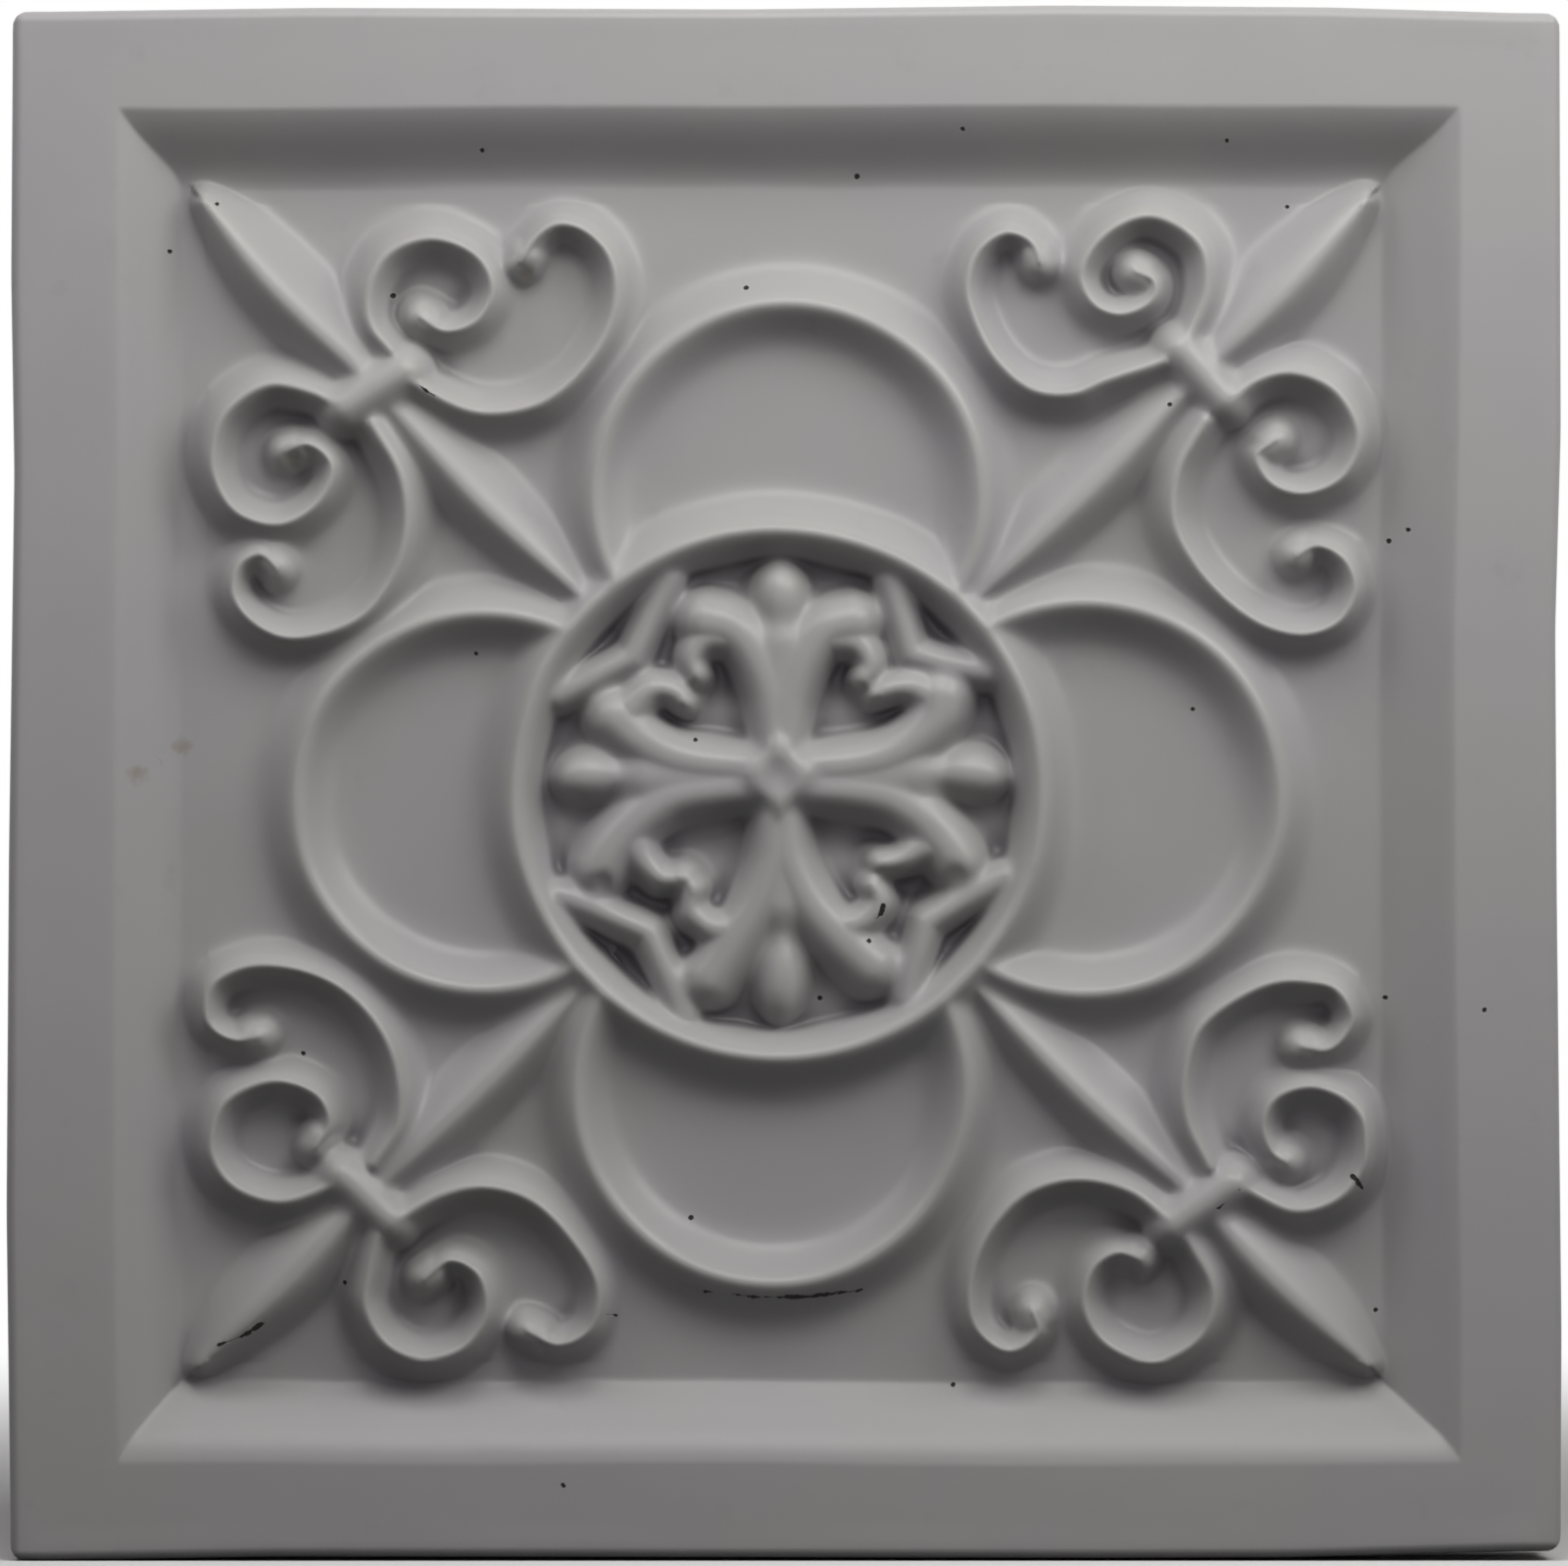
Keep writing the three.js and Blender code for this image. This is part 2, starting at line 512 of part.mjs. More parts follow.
// Pieces of one fleur-de-lis, the ones that lie over the others first.
function fleurPieces(corner) {
  const { x, z, turned } = placed(corner);
  const angle = THREE.MathUtils.degToRad(corner.collarAngle);
  const reach = (corner.collarLength / 2) * GRID_BOTH;
  const dx = reach * Math.cos(angle);
  const dz = reach * Math.sin(angle);
  const tip = [corner.sx * PANEL_HALF_WIDTH, corner.sz * PANEL_HALF_HEIGHT];
  const outward = new THREE.Vector2(x - RING_X, z - RING_Z).normalize();
  const foot = [RING_X + outward.x * RING_CREST_RADIUS, RING_Z + outward.y * RING_CREST_RADIUS];
  const pieces = {
    collar: {
      line: [[x - dx, z - dz], [x + dx, z + dz]],
      width: [COLLAR_WIDTH, COLLAR_WIDTH], rise: [COLLAR_RISE, COLLAR_RISE],
      shape: bluntEnds, count: LEAF_STEPS,
    },
    spear: {
      line: [[x, z], tip],
      width: [SPEAR_WIDTH, SPEAR_WIDTH], rise: [SPEAR_RISE, SPEAR_RISE],
      shape: leaf, section: KEEL, count: LEAF_STEPS,
    },
    stem: {
      line: [[x, z], foot],
      width: [STEM_WIDTH, STEM_WIDTH], rise: [STEM_RISE, STEM_RISE],
      shape: leaf, section: KEEL, count: LEAF_STEPS,
    },
  };
  for (const [name, line] of Object.entries(corner.scrolls)) {
    pieces[name] = {
      line: turned(line),
      width: [SCROLL_WIDTH, SCROLL_END_WIDTH], rise: [SCROLL_RISE, SCROLL_END_RISE],
      count: SCROLL_STEPS,
    };
  }
  return pieces;
}

const GLAZE = { color: 0xa9a6a3, roughness: 0.22, metalness: 0 };
const CLAY = { color: 0xb59272, roughness: 0.9, metalness: 0 };

const tile = new THREE.Group();
tile.position.z = TILE_HEIGHT / 2;

function addPiece(name, made, look = GLAZE) {
  const { vertProperties, triVerts } = mainBody(made).getMesh();
  const geometry = new THREE.BufferGeometry()
    .setAttribute("position", new THREE.BufferAttribute(vertProperties, 3))
    .setIndex(new THREE.BufferAttribute(triVerts, 1));
  geometry.computeVertexNormals();
  const mesh = new THREE.Mesh(geometry, new THREE.MeshStandardMaterial({ ...look, flatShading: true }));
  mesh.name = name;
  tile.add(mesh);
}

// Cuts a piece back from the pieces that lie over it.
const cutBy = (made, cutters) => cutters.reduce((left, cutter) => left.subtract(cutter), made);

const frameCutters = [];
const plan = plate(roundedRectangle(w, h, PLAN_CORNER_RADIUS), GROUND_Y, FACE_Y - PAST);
for (const [name, [from, to]] of Object.entries(FRAME_LENGTHS)) {
  addPiece(name, frameLength(from, to).intersect(plan));
  frameCutters.push(frameLength(from, to, GAP));
}
addPiece("base_slab", makeSlab(), CLAY);
addPiece("centre_ring", makeCentreRing());

const ringCutter = centreRingCutter();
const foilCutters = [];
for (const foil of FOILS) {
  addPiece("foil_ring_" + foil.side, makeFoil(foil).subtract(ringCutter));
  foilCutters.push(makeFoil(foil, GAP));
}

const medallion = plate(circle(MEDALLION_RADIUS - GAP, [RING_X, RING_Z]), MEDALLION_Y, FACE_Y);
const cuspCutters = [];
for (const cusp of CUSPS) {
  addPiece("cusp_" + cusp.corner, makeCusp(cusp).intersect(medallion));
  cuspCutters.push(makeCusp(cusp, GAP));
}

addPiece("cross_boss", makeBoss());
const crossCutters = [makeBoss(GAP), ...cuspCutters];
for (const frond of FRONDS) {
  addPiece("bud_" + frond.side, cutBy(makeBud(frond).intersect(medallion), cuspCutters));
  crossCutters.push(makeBud(frond, GAP));
}
for (const frond of FRONDS) {
  addPiece("frond_" + frond.side, cutBy(makeFrond(frond).intersect(medallion), crossCutters));
  crossCutters.push(makeFrond(frond, GAP));
}

for (const corner of CORNERS) {
  const cutters = [...frameCutters, ringCutter, ...foilCutters];
  for (const [name, spec] of Object.entries(fleurPieces(corner))) {
    addPiece(`${corner.corner}_${name}`, cutBy(ridge(spec), cutters));
    cutters.push(ridge(spec, GAP));
  }
}

export default tile;
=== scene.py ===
"""Looks of a square relief tile with a moulded frame, a quatrefoil, a foliate cross and four
fleurs-de-lis.

The front is one glazed skin. It is worked out as the height of the relief over the ground of the
panel and then cut along the valleys into the tile's elements, so that the glaze runs on from piece
to piece. Lengths are millimetres from the tile's middle, until the pieces are made in metres.
"""

import math

import bpy
import numpy as np
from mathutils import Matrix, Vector
from mathutils.geometry import tessellate_polygon


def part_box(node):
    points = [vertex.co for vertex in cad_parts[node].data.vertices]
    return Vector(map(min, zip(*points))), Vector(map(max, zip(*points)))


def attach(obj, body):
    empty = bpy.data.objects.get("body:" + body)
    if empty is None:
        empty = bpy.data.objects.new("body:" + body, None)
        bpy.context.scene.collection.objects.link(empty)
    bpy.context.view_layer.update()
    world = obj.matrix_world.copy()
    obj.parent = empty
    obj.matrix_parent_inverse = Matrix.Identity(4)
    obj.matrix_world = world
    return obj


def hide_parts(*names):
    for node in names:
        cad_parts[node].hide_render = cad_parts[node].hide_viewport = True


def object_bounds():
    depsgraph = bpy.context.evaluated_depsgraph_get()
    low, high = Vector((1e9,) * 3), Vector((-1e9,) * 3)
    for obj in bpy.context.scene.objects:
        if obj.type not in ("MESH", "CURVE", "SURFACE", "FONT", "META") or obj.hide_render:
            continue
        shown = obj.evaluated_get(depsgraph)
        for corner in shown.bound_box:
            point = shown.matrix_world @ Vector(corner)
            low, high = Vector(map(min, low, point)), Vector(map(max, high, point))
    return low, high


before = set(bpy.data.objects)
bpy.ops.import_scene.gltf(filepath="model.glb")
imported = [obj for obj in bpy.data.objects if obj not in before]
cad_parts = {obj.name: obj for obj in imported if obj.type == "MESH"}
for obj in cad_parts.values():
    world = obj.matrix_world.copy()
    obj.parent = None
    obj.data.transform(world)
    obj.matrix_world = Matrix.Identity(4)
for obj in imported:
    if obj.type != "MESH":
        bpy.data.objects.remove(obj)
cad_low, cad_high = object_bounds()

MM = 0.001


def in_mm(corner):
    """A corner of a CAD box as x, y and z in millimetres, z from the tile's middle."""
    middle = (cad_low.z + cad_high.z) / 2
    return np.array([corner.x, corner.y, corner.z - middle]) / MM


def node_box(name):
    return [in_mm(corner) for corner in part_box(name)]


# Sizes that the CAD model gives
HALF = in_mm(cad_high)[0]
FACE_Y = in_mm(cad_low)[1]
BACK_Y = in_mm(cad_high)[1]
GLAZE_FILL = 2.0  # clay slip and glaze that lie on the grounds and soften every foot
GROUND_Y = node_box("base_slab")[0][1] - GLAZE_FILL
FRAME_RISE = GROUND_Y - FACE_Y
MEDALLION_FLOOR = -0.9
PANEL_HALF = -node_box("frame_left")[1][0]
RING_SHIFT = np.array([-0.2, 0, -0.6])  # from the CAD's ring to the glazed one
RING_WORN = 0.6  # how much lower the glazed crest is
ring_low, ring_high = node_box("centre_ring")
RING_X, _, RING_Z = (ring_low + ring_high) / 2 + RING_SHIFT
RING_FOOT = (ring_high[0] - ring_low[0]) / 2
RING_RISE = GROUND_Y - ring_low[1] - RING_WORN

# Frame, side by side: where its flat face ends and where the moulding meets the panel
MOULDING = {
    "left": (86.1, 78.0),
    "right": (86.9, 77.2),
    "top": (87.2, 77.2),
    "bottom": (87.7, 77.2),
}

# How steep each moulding is at shares of its width from the face to its foot
STEEPNESS = {
    "left": [(0, 0.7), (0.2, 1), (1, 1)],
    "right": [(0, 0.7), (0.2, 1), (1, 1)],
    "top": [(0, 0.5), (0.25, 0.8), (0.5, 1.0), (0.7, 0.95), (1, 0.45)],
    "bottom": [(0, 0.3), (0.4, 1), (1, 1)],
}
EDGE_RADIUS = 1.4
PLAN_CORNER_RADIUS = 2.0

# How far the outline lies inside the CAD box: place along each edge from its middle, and inset
OUTLINE_INSETS = {
    "left": [(-95, 0.5), (-55, 0), (-10, 0.3), (40, 1.0), (65, 0.6), (95, 0.8)],
    "right": [(-95, 0.1), (-70, 0), (-15, 0.6), (20, 0.8), (45, 0.1), (95, 0.25)],
    "top": [(-95, 0.8), (-60, 0.3), (-5, 0.5), (35, 0), (70, 0.25), (95, 1.0)],
    "bottom": [(-95, 0), (-65, 0.5), (0, 0.4), (40, 0.3), (65, 0.4), (95, 1.2)],
}
OUTLINE_REACH = 30.0  # the insets fade out this far inward

# Centre ring
RING_CREST = 34.0
RING_WALL_FOOT = 30.0
RING_FILLET = 1.4  # the glaze's foot lies this far outside the clay's
RING_END = 4.0  # and this far out, the ring has no height left
FLOOR_UNDER_WALL = 0.6  # the medallion's ground runs on this far under the wall

# The CAD's crest lines, given below, are brought to where the glazed crests lie.
CREST_SCALE = 0.99
CREST_DROP = 1.0


def crest(points):
    return np.array(points, float) * CREST_SCALE - [0, CREST_DROP]


# Foil rings: centre and crest radius
FOILS = {
    "top": (0.5, 38.1, 24.9),
    "right": (39.1, -1.0, 25.2),
    "bottom": (-1.7, -38.9, 25.1),
    "left": (-39.1, -1.4, 24.3),
}
FOIL_HALF = 6.0
FOIL_RISE = 4.9

# Cusps: degrees of the ribs' ends on the wall and of their tip, and the tip's distance from the wall
CUSPS = {
    "nw": (117, 137, 156, 4.3),
    "ne": (30, 46, 62, 5.1),
    "se": (-58, -41, -20, 4.6),
    "sw": (205, 227, 247, 5.6),
}
CUSP_HALF = 2.8
CUSP_TOP = 3.4
CUSP_SUNK = 1.0  # the ribs' ends lie this far within the wall
POCKET_DEPTH = 4.3  # behind a cusp, under the medallion's ground
POCKET_WALL = (0.3, 2.2)  # how far behind a rib the pocket's wall begins and ends

# Foliate cross, drawn where its glazed crests lie
BOSS = (-0.7, 1.0)
BOSS_HALF_WIDTH = 6.2
BOSS_HALF_HEIGHT = 7.0
BOSS_ROUNDNESS = 1.25  # between 1 for a rhombus and 2 for an ellipse
BOSS_TOP = 6.4
BOSS_DISH = 1.5
BOSS_DISH_RADIUS = 3.2
LEAFLET_HALF = [3.8, 4.7]
LEAFLET_TOP = 4.6
CURL_HALF = [3.4, 2.3]
CURL_TOP = 4.2
CURL_KNOB_HALF = 2.3
CURL_KNOB_TOP = 4.4
BUD_HALF = 4.3
BUD_TOP = 4.3
WEB_HALF = [4.4, 6.0]
WEB_TOP = [4.0, 4.4]
FRONDS = {
    "top": {
        "leaflets": [
            [[-1.2, 6], [-1.8, 11.5], [-4.2, 17], [-7, 19.9], [-10.2, 20.8]],
            [[0, 6], [0.8, 11.5], [3.2, 17], [5.6, 19.9], [8.6, 20.8]],
        ],
        "curls": [
            [[-6.6, 18.6], [-10.2, 18.2], [-12, 16], [-11.3, 13.8]],
            [[5.8, 18.6], [9.6, 17.8], [11.2, 15.4], [10.2, 13.4]],
        ],
        "bud": [[-0.5, 18.5], [-0.5, 21.5], [-0.5, 24.5], [-0.5, 27.4]],
        "web": [[-0.6, 5], [-0.6, 11], [-0.5, 17.5]],
    },
    "right": {
        "leaflets": [
            [[3, 2.2], [8, 2.3], [13, 3.2], [17.3, 5.6], [19.9, 8.8], [20.4, 10.9]],
            [[3, -0.6], [8.5, -1], [13.5, -2], [18, -4.8], [21, -8.2], [22.1, -10]],
        ],
        "curls": [
            [[19.5, 10.6], [16.8, 12.2], [14, 12.1], [12, 11]],
            [[20.4, -7.8], [17.6, -8.6], [15, -10], [12.3, -10.3]],
        ],
        "bud": [[17.5, 1], [20.8, 1.1], [24.4, 1.1], [28.2, 0.6]],
        "web": [[3, 0.7], [10, 0.7], [16.5, 0.9]],
    },
    "bottom": {
        "leaflets": [
            [[-1.1, -5], [-1.5, -10], [-3.4, -15.5], [-6.4, -20.4], [-9.6, -25.2]],
            [[-0.3, -5], [0.6, -10], [3.2, -15.5], [7, -20], [11.2, -23.8]],
        ],
        "curls": [
            [[-6, -19], [-10, -18.4], [-12.2, -16], [-11.6, -13.6]],
            [[6.6, -18.9], [10.6, -17.6], [12.3, -15.2], [11.2, -13.2]],
        ],
        "bud": [[-0.4, -16.5], [-0.4, -21], [-0.4, -25.5], [-0.4, -30.4]],
        "web": [[-0.7, -5], [-0.6, -11], [-0.4, -15.5]],
    },
    "left": {
        "leaflets": [
            [[-4.6, 2.2], [-9.5, 2.4], [-14.5, 3.4], [-19, 5.8], [-22, 8.4]],
            [[-4.6, -0.6], [-9.5, -1], [-14.5, -2], [-19, -5], [-22, -8.4], [-23.6, -11.2]],
        ],
        "curls": [
            [[-19.6, 9.8], [-17, 12], [-14.4, 11.8], [-12.9, 10.2]],
            [[-19.4, -7.4], [-17.6, -10.6], [-15.4, -12.5], [-12.8, -12]],
        ],
        "bud": [[-18.8, 0.6], [-22, 0.9], [-25.4, 0.9], [-29, 0.4]],
        "web": [[-4.6, 0.7], [-11, 0.7], [-17.5, 0.7]],
    },
}

# Fleurs-de-lis, drawn from the collar with u and v outward to the side and to the top or bottom
COLLAR_HALF = 4.3
COLLAR_RISE = 6.5
COLLAR_END = 2.2  # the rounded end goes this far beyond the end of its crest
LEAF_SLIP = 0.9  # how far the crest of a spear or stem lies toward its lower side
SPEAR_UPPER = 7.4
SPEAR_LOWER = 5.0
SPEAR_RISE = 5.8
STEM_UPPER = 6.6
STEM_LOWER = 4.6
STEM_RISE = 5.2
SCROLL_OUTER = 5.3
SCROLL_INNER = 4.1
SCROLL_END = 3.2
SCROLL_RISE = 5.8
SCROLL_END_RISE = 5.0
KNOB_HALF = 3.2
KNOB_RISE = 4.6
SPEAR_TIP_INSET = 2.6
CORNERS = {
    "nw": {
        "signs": (-1, 1), "inset": (24.3, 25.4), "collar": (13.4, 32),
        "scrolls": {
            "volute_top": [[-2, 5.2], [0.6, 8.5], [0.8, 12.9], [-1.9, 17.7], [-7.6, 19.7],
                           [-13.3, 17.3], [-15.2, 12.9], [-13.3, 9.1], [-9.1, 7.8], [-5.9, 9.6]],
            "volute_left": [[4.9, -2], [8.4, -0.4], [13.9, 0.5], [19.6, -3.5], [21.1, -9.9],
                            [18.4, -15.6], [12.3, -17.5], [7, -14.3], [5.6, -9.6], [8.6, -7],
                            [11.4, -8.2]],
            "arm_top": [[-4.6, 1.2], [-11.4, -2.3], [-15.2, -2.9], [-21.5, -1.6], [-26.6, 2.2],
                        [-30.4, 7.8], [-31.4, 13.5], [-30.1, 18], [-26.6, 21.1], [-23.4, 21.5],
                        [-20.3, 19.2], [-19, 16.5]],
            "arm_left": [[0.4, -4.6], [-3.2, -11.1], [-4.1, -17.5], [-2.5, -23.8], [1.3, -28.9],
                         [6.3, -31.4], [12, -32], [16.5, -29.5], [18.4, -26.3], [17.7, -22.8],
                         [14.9, -21.3], [12.7, -23.2]],
        },
    },
    "ne": {
        "signs": (1, 1), "inset": (23.2, 23.3), "collar": (13, -49),
        "scrolls": {
            "volute_top": [[-2, 4.4], [0.5, 10.5], [0, 16.2], [-4.2, 19.7], [-8, 20.4], [-13, 17.8],
                           [-15.6, 13], [-13.9, 9.2], [-10.5, 8], [-6.3, 9.9], [-6.1, 12.2],
                           [-8.6, 13.4]],
            "volute_right": [[3.8, -3.6], [7.2, -0.9], [11.6, 0.1], [17.3, -2.2], [20.3, -7.8],
                             [18.6, -12.9], [13.5, -15.4], [9.1, -14.2], [7.1, -10.6], [9.7, -8.5]],
            "arm_top": [[-5, 1.8], [-12.7, -0.8], [-16.8, -2.5], [-22, -2.1], [-26.7, 1.8],
                        [-29.9, 8.1], [-30.5, 11.9], [-28.9, 16.2], [-25.4, 18.4], [-22, 17.1],
                        [-21, 14.5]],
            "arm_right": [[0.6, -6.2], [-3.2, -13], [-3.6, -19.2], [-1, -24.6], [3.5, -29.6],
                          [8.5, -32.8], [13.6, -33.7], [18, -31.8], [19.9, -28], [18.6, -24.2],
                          [14.8, -22.3], [12.3, -23.6]],
        },
    },
    "se": {
        "signs": (1, -1), "inset": (23.1, 23.6), "collar": (13.6, 35),
        "scrolls": {
            "volute_bottom": [[-2, 4.4], [1.3, 11.1], [-0.1, 16.8], [-6.3, 20.3], [-12.8, 17.7],
                              [-15.3, 12.7], [-14.1, 8], [-11.1, 6.1], [-8, 7.1]],
            "volute_right": [[5, -2.4], [12.4, 0.6], [18.2, -1.5], [20.9, -6.1], [20.1, -12.3],
                             [14.6, -15.4], [9.4, -13.9], [7.8, -10.4], [9, -6.8], [10.9, -5.6]],
            "arm_bottom": [[-4.6, 1.9], [-9.7, -1.9], [-16.6, -3.3], [-23, -1.4], [-28.1, 4.1],
                           [-30.3, 10.5], [-29.4, 16.1], [-25.2, 19], [-21.3, 16.5], [-22, 13.9]],
            "arm_right": [[0.9, -5], [-1.6, -10.4], [-2.2, -16.3], [-0.4, -22.8], [4.7, -27],
                          [10.6, -29.1], [17.5, -27.8], [19.5, -24.1], [16.7, -20.3],
                          [12.9, -20.6]],
        },
    },
    "sw": {
        "signs": (-1, -1), "inset": (23.1, 24.5), "collar": (12.8, -43),
        "scrolls": {
            "volute_bottom": [[-1.6, 5], [-0.6, 9], [0.1, 13.9], [-2.5, 18.7], [-7.1, 20.8],
                              [-12.7, 19.4], [-15.6, 14.9], [-14.6, 9.9], [-10.8, 8], [-7.6, 10.5]],
            "volute_left": [[4.4, -1.6], [11.3, 0.3], [17.7, -2.2], [20.1, -6.6], [18.4, -12.3],
                            [12, -15.1], [6.3, -13.2], [4.8, -9.7], [6.6, -6.6]],
            "arm_bottom": [[-4.4, 2.6], [-10.1, -0.6], [-15.6, -1.5], [-21.6, 0.3], [-26.7, 5.3],
                           [-30.1, 11.4], [-29.2, 16.8], [-25.1, 19], [-20.9, 17.2]],
            "arm_left": [[-1, -4.6], [-4.2, -10], [-3.7, -18.1], [-0.8, -23.7], [3.9, -27.8],
                         [10, -30], [15.9, -30], [20.1, -27.5], [20.4, -22.8], [17.1, -20.6],
                         [13.8, -21]],
        },
    },
}

# Skin
STEP = 0.35
FINE_HALF = 88.6  # the grid is fine within this distance from the middle
FLAT_STEP = 1.2
FAR = -40.0  # height of an element where it isn't
PAST_FOOT = 3.0  # heights are worked out this far beyond a ridge's foot
TOE = 0.12  # an element begins where it stands this far over the ground
BLEND = 2.6  # sharpness of the valleys between elements, per mm
CROSS_BLEND = 1.15  # and within the cross
BLEND_BASE = -4.0  # lower than any ground, for the sum that blends the elements
GROUND_FILLET = 0.5
FRAME_FILLET = 0.35
SMOOTH_RADIUS = 0.55
FILL_SHARE = 0.75  # how far the glaze fills the valleys up to the smoothed height
WEAR_SHARE = 0.45  # and how far it rounds the crests down to it
CRISP_SHARE = 0.3  # of both, where the moulding meets the panel
CRISP_ZONE = 3.0
EDGE_ZONE = 3.0  # the outer edge is left as it is
HOLLOW_RADIUS = 2.2
SKIN_DEPTH = 0.6  # from the ground down to the underside of a piece
SEED = 20

# Unevenness of the hand that made the tile, in millimetres
LINE_WOBBLE = 0.12
FRAME_BOW = 0.25
GROUND_WAVE = 0.07
FACE_WAVE = 0.05


# Grid of the skin

def rounding():
    """Offsets from the outer edge at which the rounded edge gets its grid lines."""
    turns = np.linspace(0, math.pi / 2, 7)
    return EDGE_RADIUS * (1 - np.sin(turns[1:]))[::-1]


def grid_lines(step, inner=FINE_HALF, flat_step=FLAT_STEP):
    """Grid lines over the tile's width: fine over the relief, closer again at the rounded edge."""
    fine = np.linspace(0, inner, int(round(inner / step)) + 1)[1:]
    flat_end = HALF - EDGE_RADIUS
    flat = np.linspace(inner, flat_end, int((flat_end - inner) / flat_step) + 1)[1:]
    edge = HALF - rounding()[::-1]
    half = np.concatenate([fine, flat, edge])
    return np.concatenate([-half[::-1], [0.0], half])


def smoothstep(low, high, value):
    share = np.clip((value - low) / (high - low), 0, 1)
    return share * share * (3 - 2 * share)


def waves(x, z, shortest, longest, seed, count=14):
    """Smooth unevenness between about -1 and 1, from a few plane waves."""
    draw = np.random.default_rng(seed)
    total = np.zeros_like(x)
    for _ in range(count):
        angle, phase = draw.uniform(0, 2 * math.pi, 2)
        number = 2 * math.pi / draw.uniform(shortest, longest)
        total += np.sin(number * (x * math.cos(angle) + z * math.sin(angle)) + phase)
    return total / math.sqrt(count * 2)


def along_edge(side, place):
    """Inset of the outline at a place along an edge, smoothly between the given places."""
    places, depths = zip(*OUTLINE_INSETS[side])
    even = np.linspace(-HALF, HALF, 401)
    reach = 8  # steps to either side
    kernel = np.hanning(2 * reach + 1)
    rough = np.pad(np.interp(even, places, depths), reach, "edge")
    smooth = np.convolve(rough, kernel / kernel.sum(), mode="valid")
    return np.interp(place, even, smooth)


def placed(x, z):
    """Where a point of the nominal square lies on the real, slightly uneven outline."""
    straight = HALF - PLAN_CORNER_RADIUS
    over_x = (np.abs(x) - straight) / PLAN_CORNER_RADIUS
    over_z = (np.abs(z) - straight) / PLAN_CORNER_RADIUS
    corner = (over_x > 0) & (over_z > 0)
    round_x = np.where(corner, over_x * np.sqrt(np.clip(1 - over_z**2 / 2, 0, 1)), over_x)
    round_z = np.where(corner, over_z * np.sqrt(np.clip(1 - over_x**2 / 2, 0, 1)), over_z)
    inset_x = np.where(x < 0, along_edge("left", z), along_edge("right", z))
    inset_z = np.where(z < 0, along_edge("bottom", x), along_edge("top", x))
    inset_x = inset_x * smoothstep(HALF - OUTLINE_REACH, HALF, np.abs(x))
    inset_z = inset_z * smoothstep(HALF - OUTLINE_REACH, HALF, np.abs(z))
    new_x = np.sign(x) * (straight + round_x * PLAN_CORNER_RADIUS - inset_x)
    new_z = np.sign(z) * (straight + round_z * PLAN_CORNER_RADIUS - inset_z)
    return new_x, new_z


lines = grid_lines(STEP)
X, Z = np.meshgrid(lines, lines)
UNEVEN_X = X + LINE_WOBBLE * waves(X, Z, 18, 45, SEED)
UNEVEN_Z = Z + LINE_WOBBLE * waves(X, Z, 18, 45, SEED + 1)


# Elements of the relief

def between(t, start, end, a, b):
    return ((end - t) * a + (t - start) * b) / (end - start)


def smooth_line(points, step=0.4):
    """A centripetal Catmull-Rom curve through [x, z] rows, sampled about every step."""
    rows = np.array(points, float)
    rows = np.vstack([2 * rows[0] - rows[1], rows, 2 * rows[-1] - rows[-2]])
    found = []
    for a, b, c, d in zip(rows, rows[1:], rows[2:], rows[3:]):
        runs = np.linalg.norm([b - a, c - b, d - c], axis=1)
        t1, t2, t3 = np.cumsum(np.sqrt(runs))
        count = max(2, int(runs[1] / step))
        t = np.linspace(t1, t2, count, endpoint=False)[:, None]
        bc = between(t, t1, t2, b, c)
        abc = between(t, 0, t2, between(t, 0, t1, a, b), bc)
        bcd = between(t, t1, t3, bc, between(t, t2, t3, c, d))
        found.append(between(t, t1, t2, abc, bcd))
    return np.vstack(found + [rows[-2:-1]])


def swell(share, crest=0.2, foot=1.7):
    """Height share across a ridge: a narrow rounded crest and flanks that run out at the foot."""
    slope = np.sqrt(share**2 + crest**2)
    run = (slope - crest) / (math.sqrt(1 + crest**2) - crest)
    return np.where(run < 1, np.clip(1 - run, 0, 1) ** foot, -0.3 * (run - 1))


def blade(share):
    """Height share across a leaf: a broad rounded crest and almost plane flanks."""
    return swell(share, 0.36, 1.12)


def round_bar(share):
    """Height share across a full, rounded form."""
    return np.where(share < 1, np.clip(1 - share**2.4, 0, 1) ** 0.9, -0.6 * (share - 1))


def roll(share):
    """Height share across a round roll."""
    return np.where(share < 1, np.clip(1 - share**2, 0, 1) ** 0.75, -0.6 * (share - 1))


def wall(share):
    """Height share down the wall inside the ring, rounded at its crest."""
    return (1 - share**1.7) ** 1.05


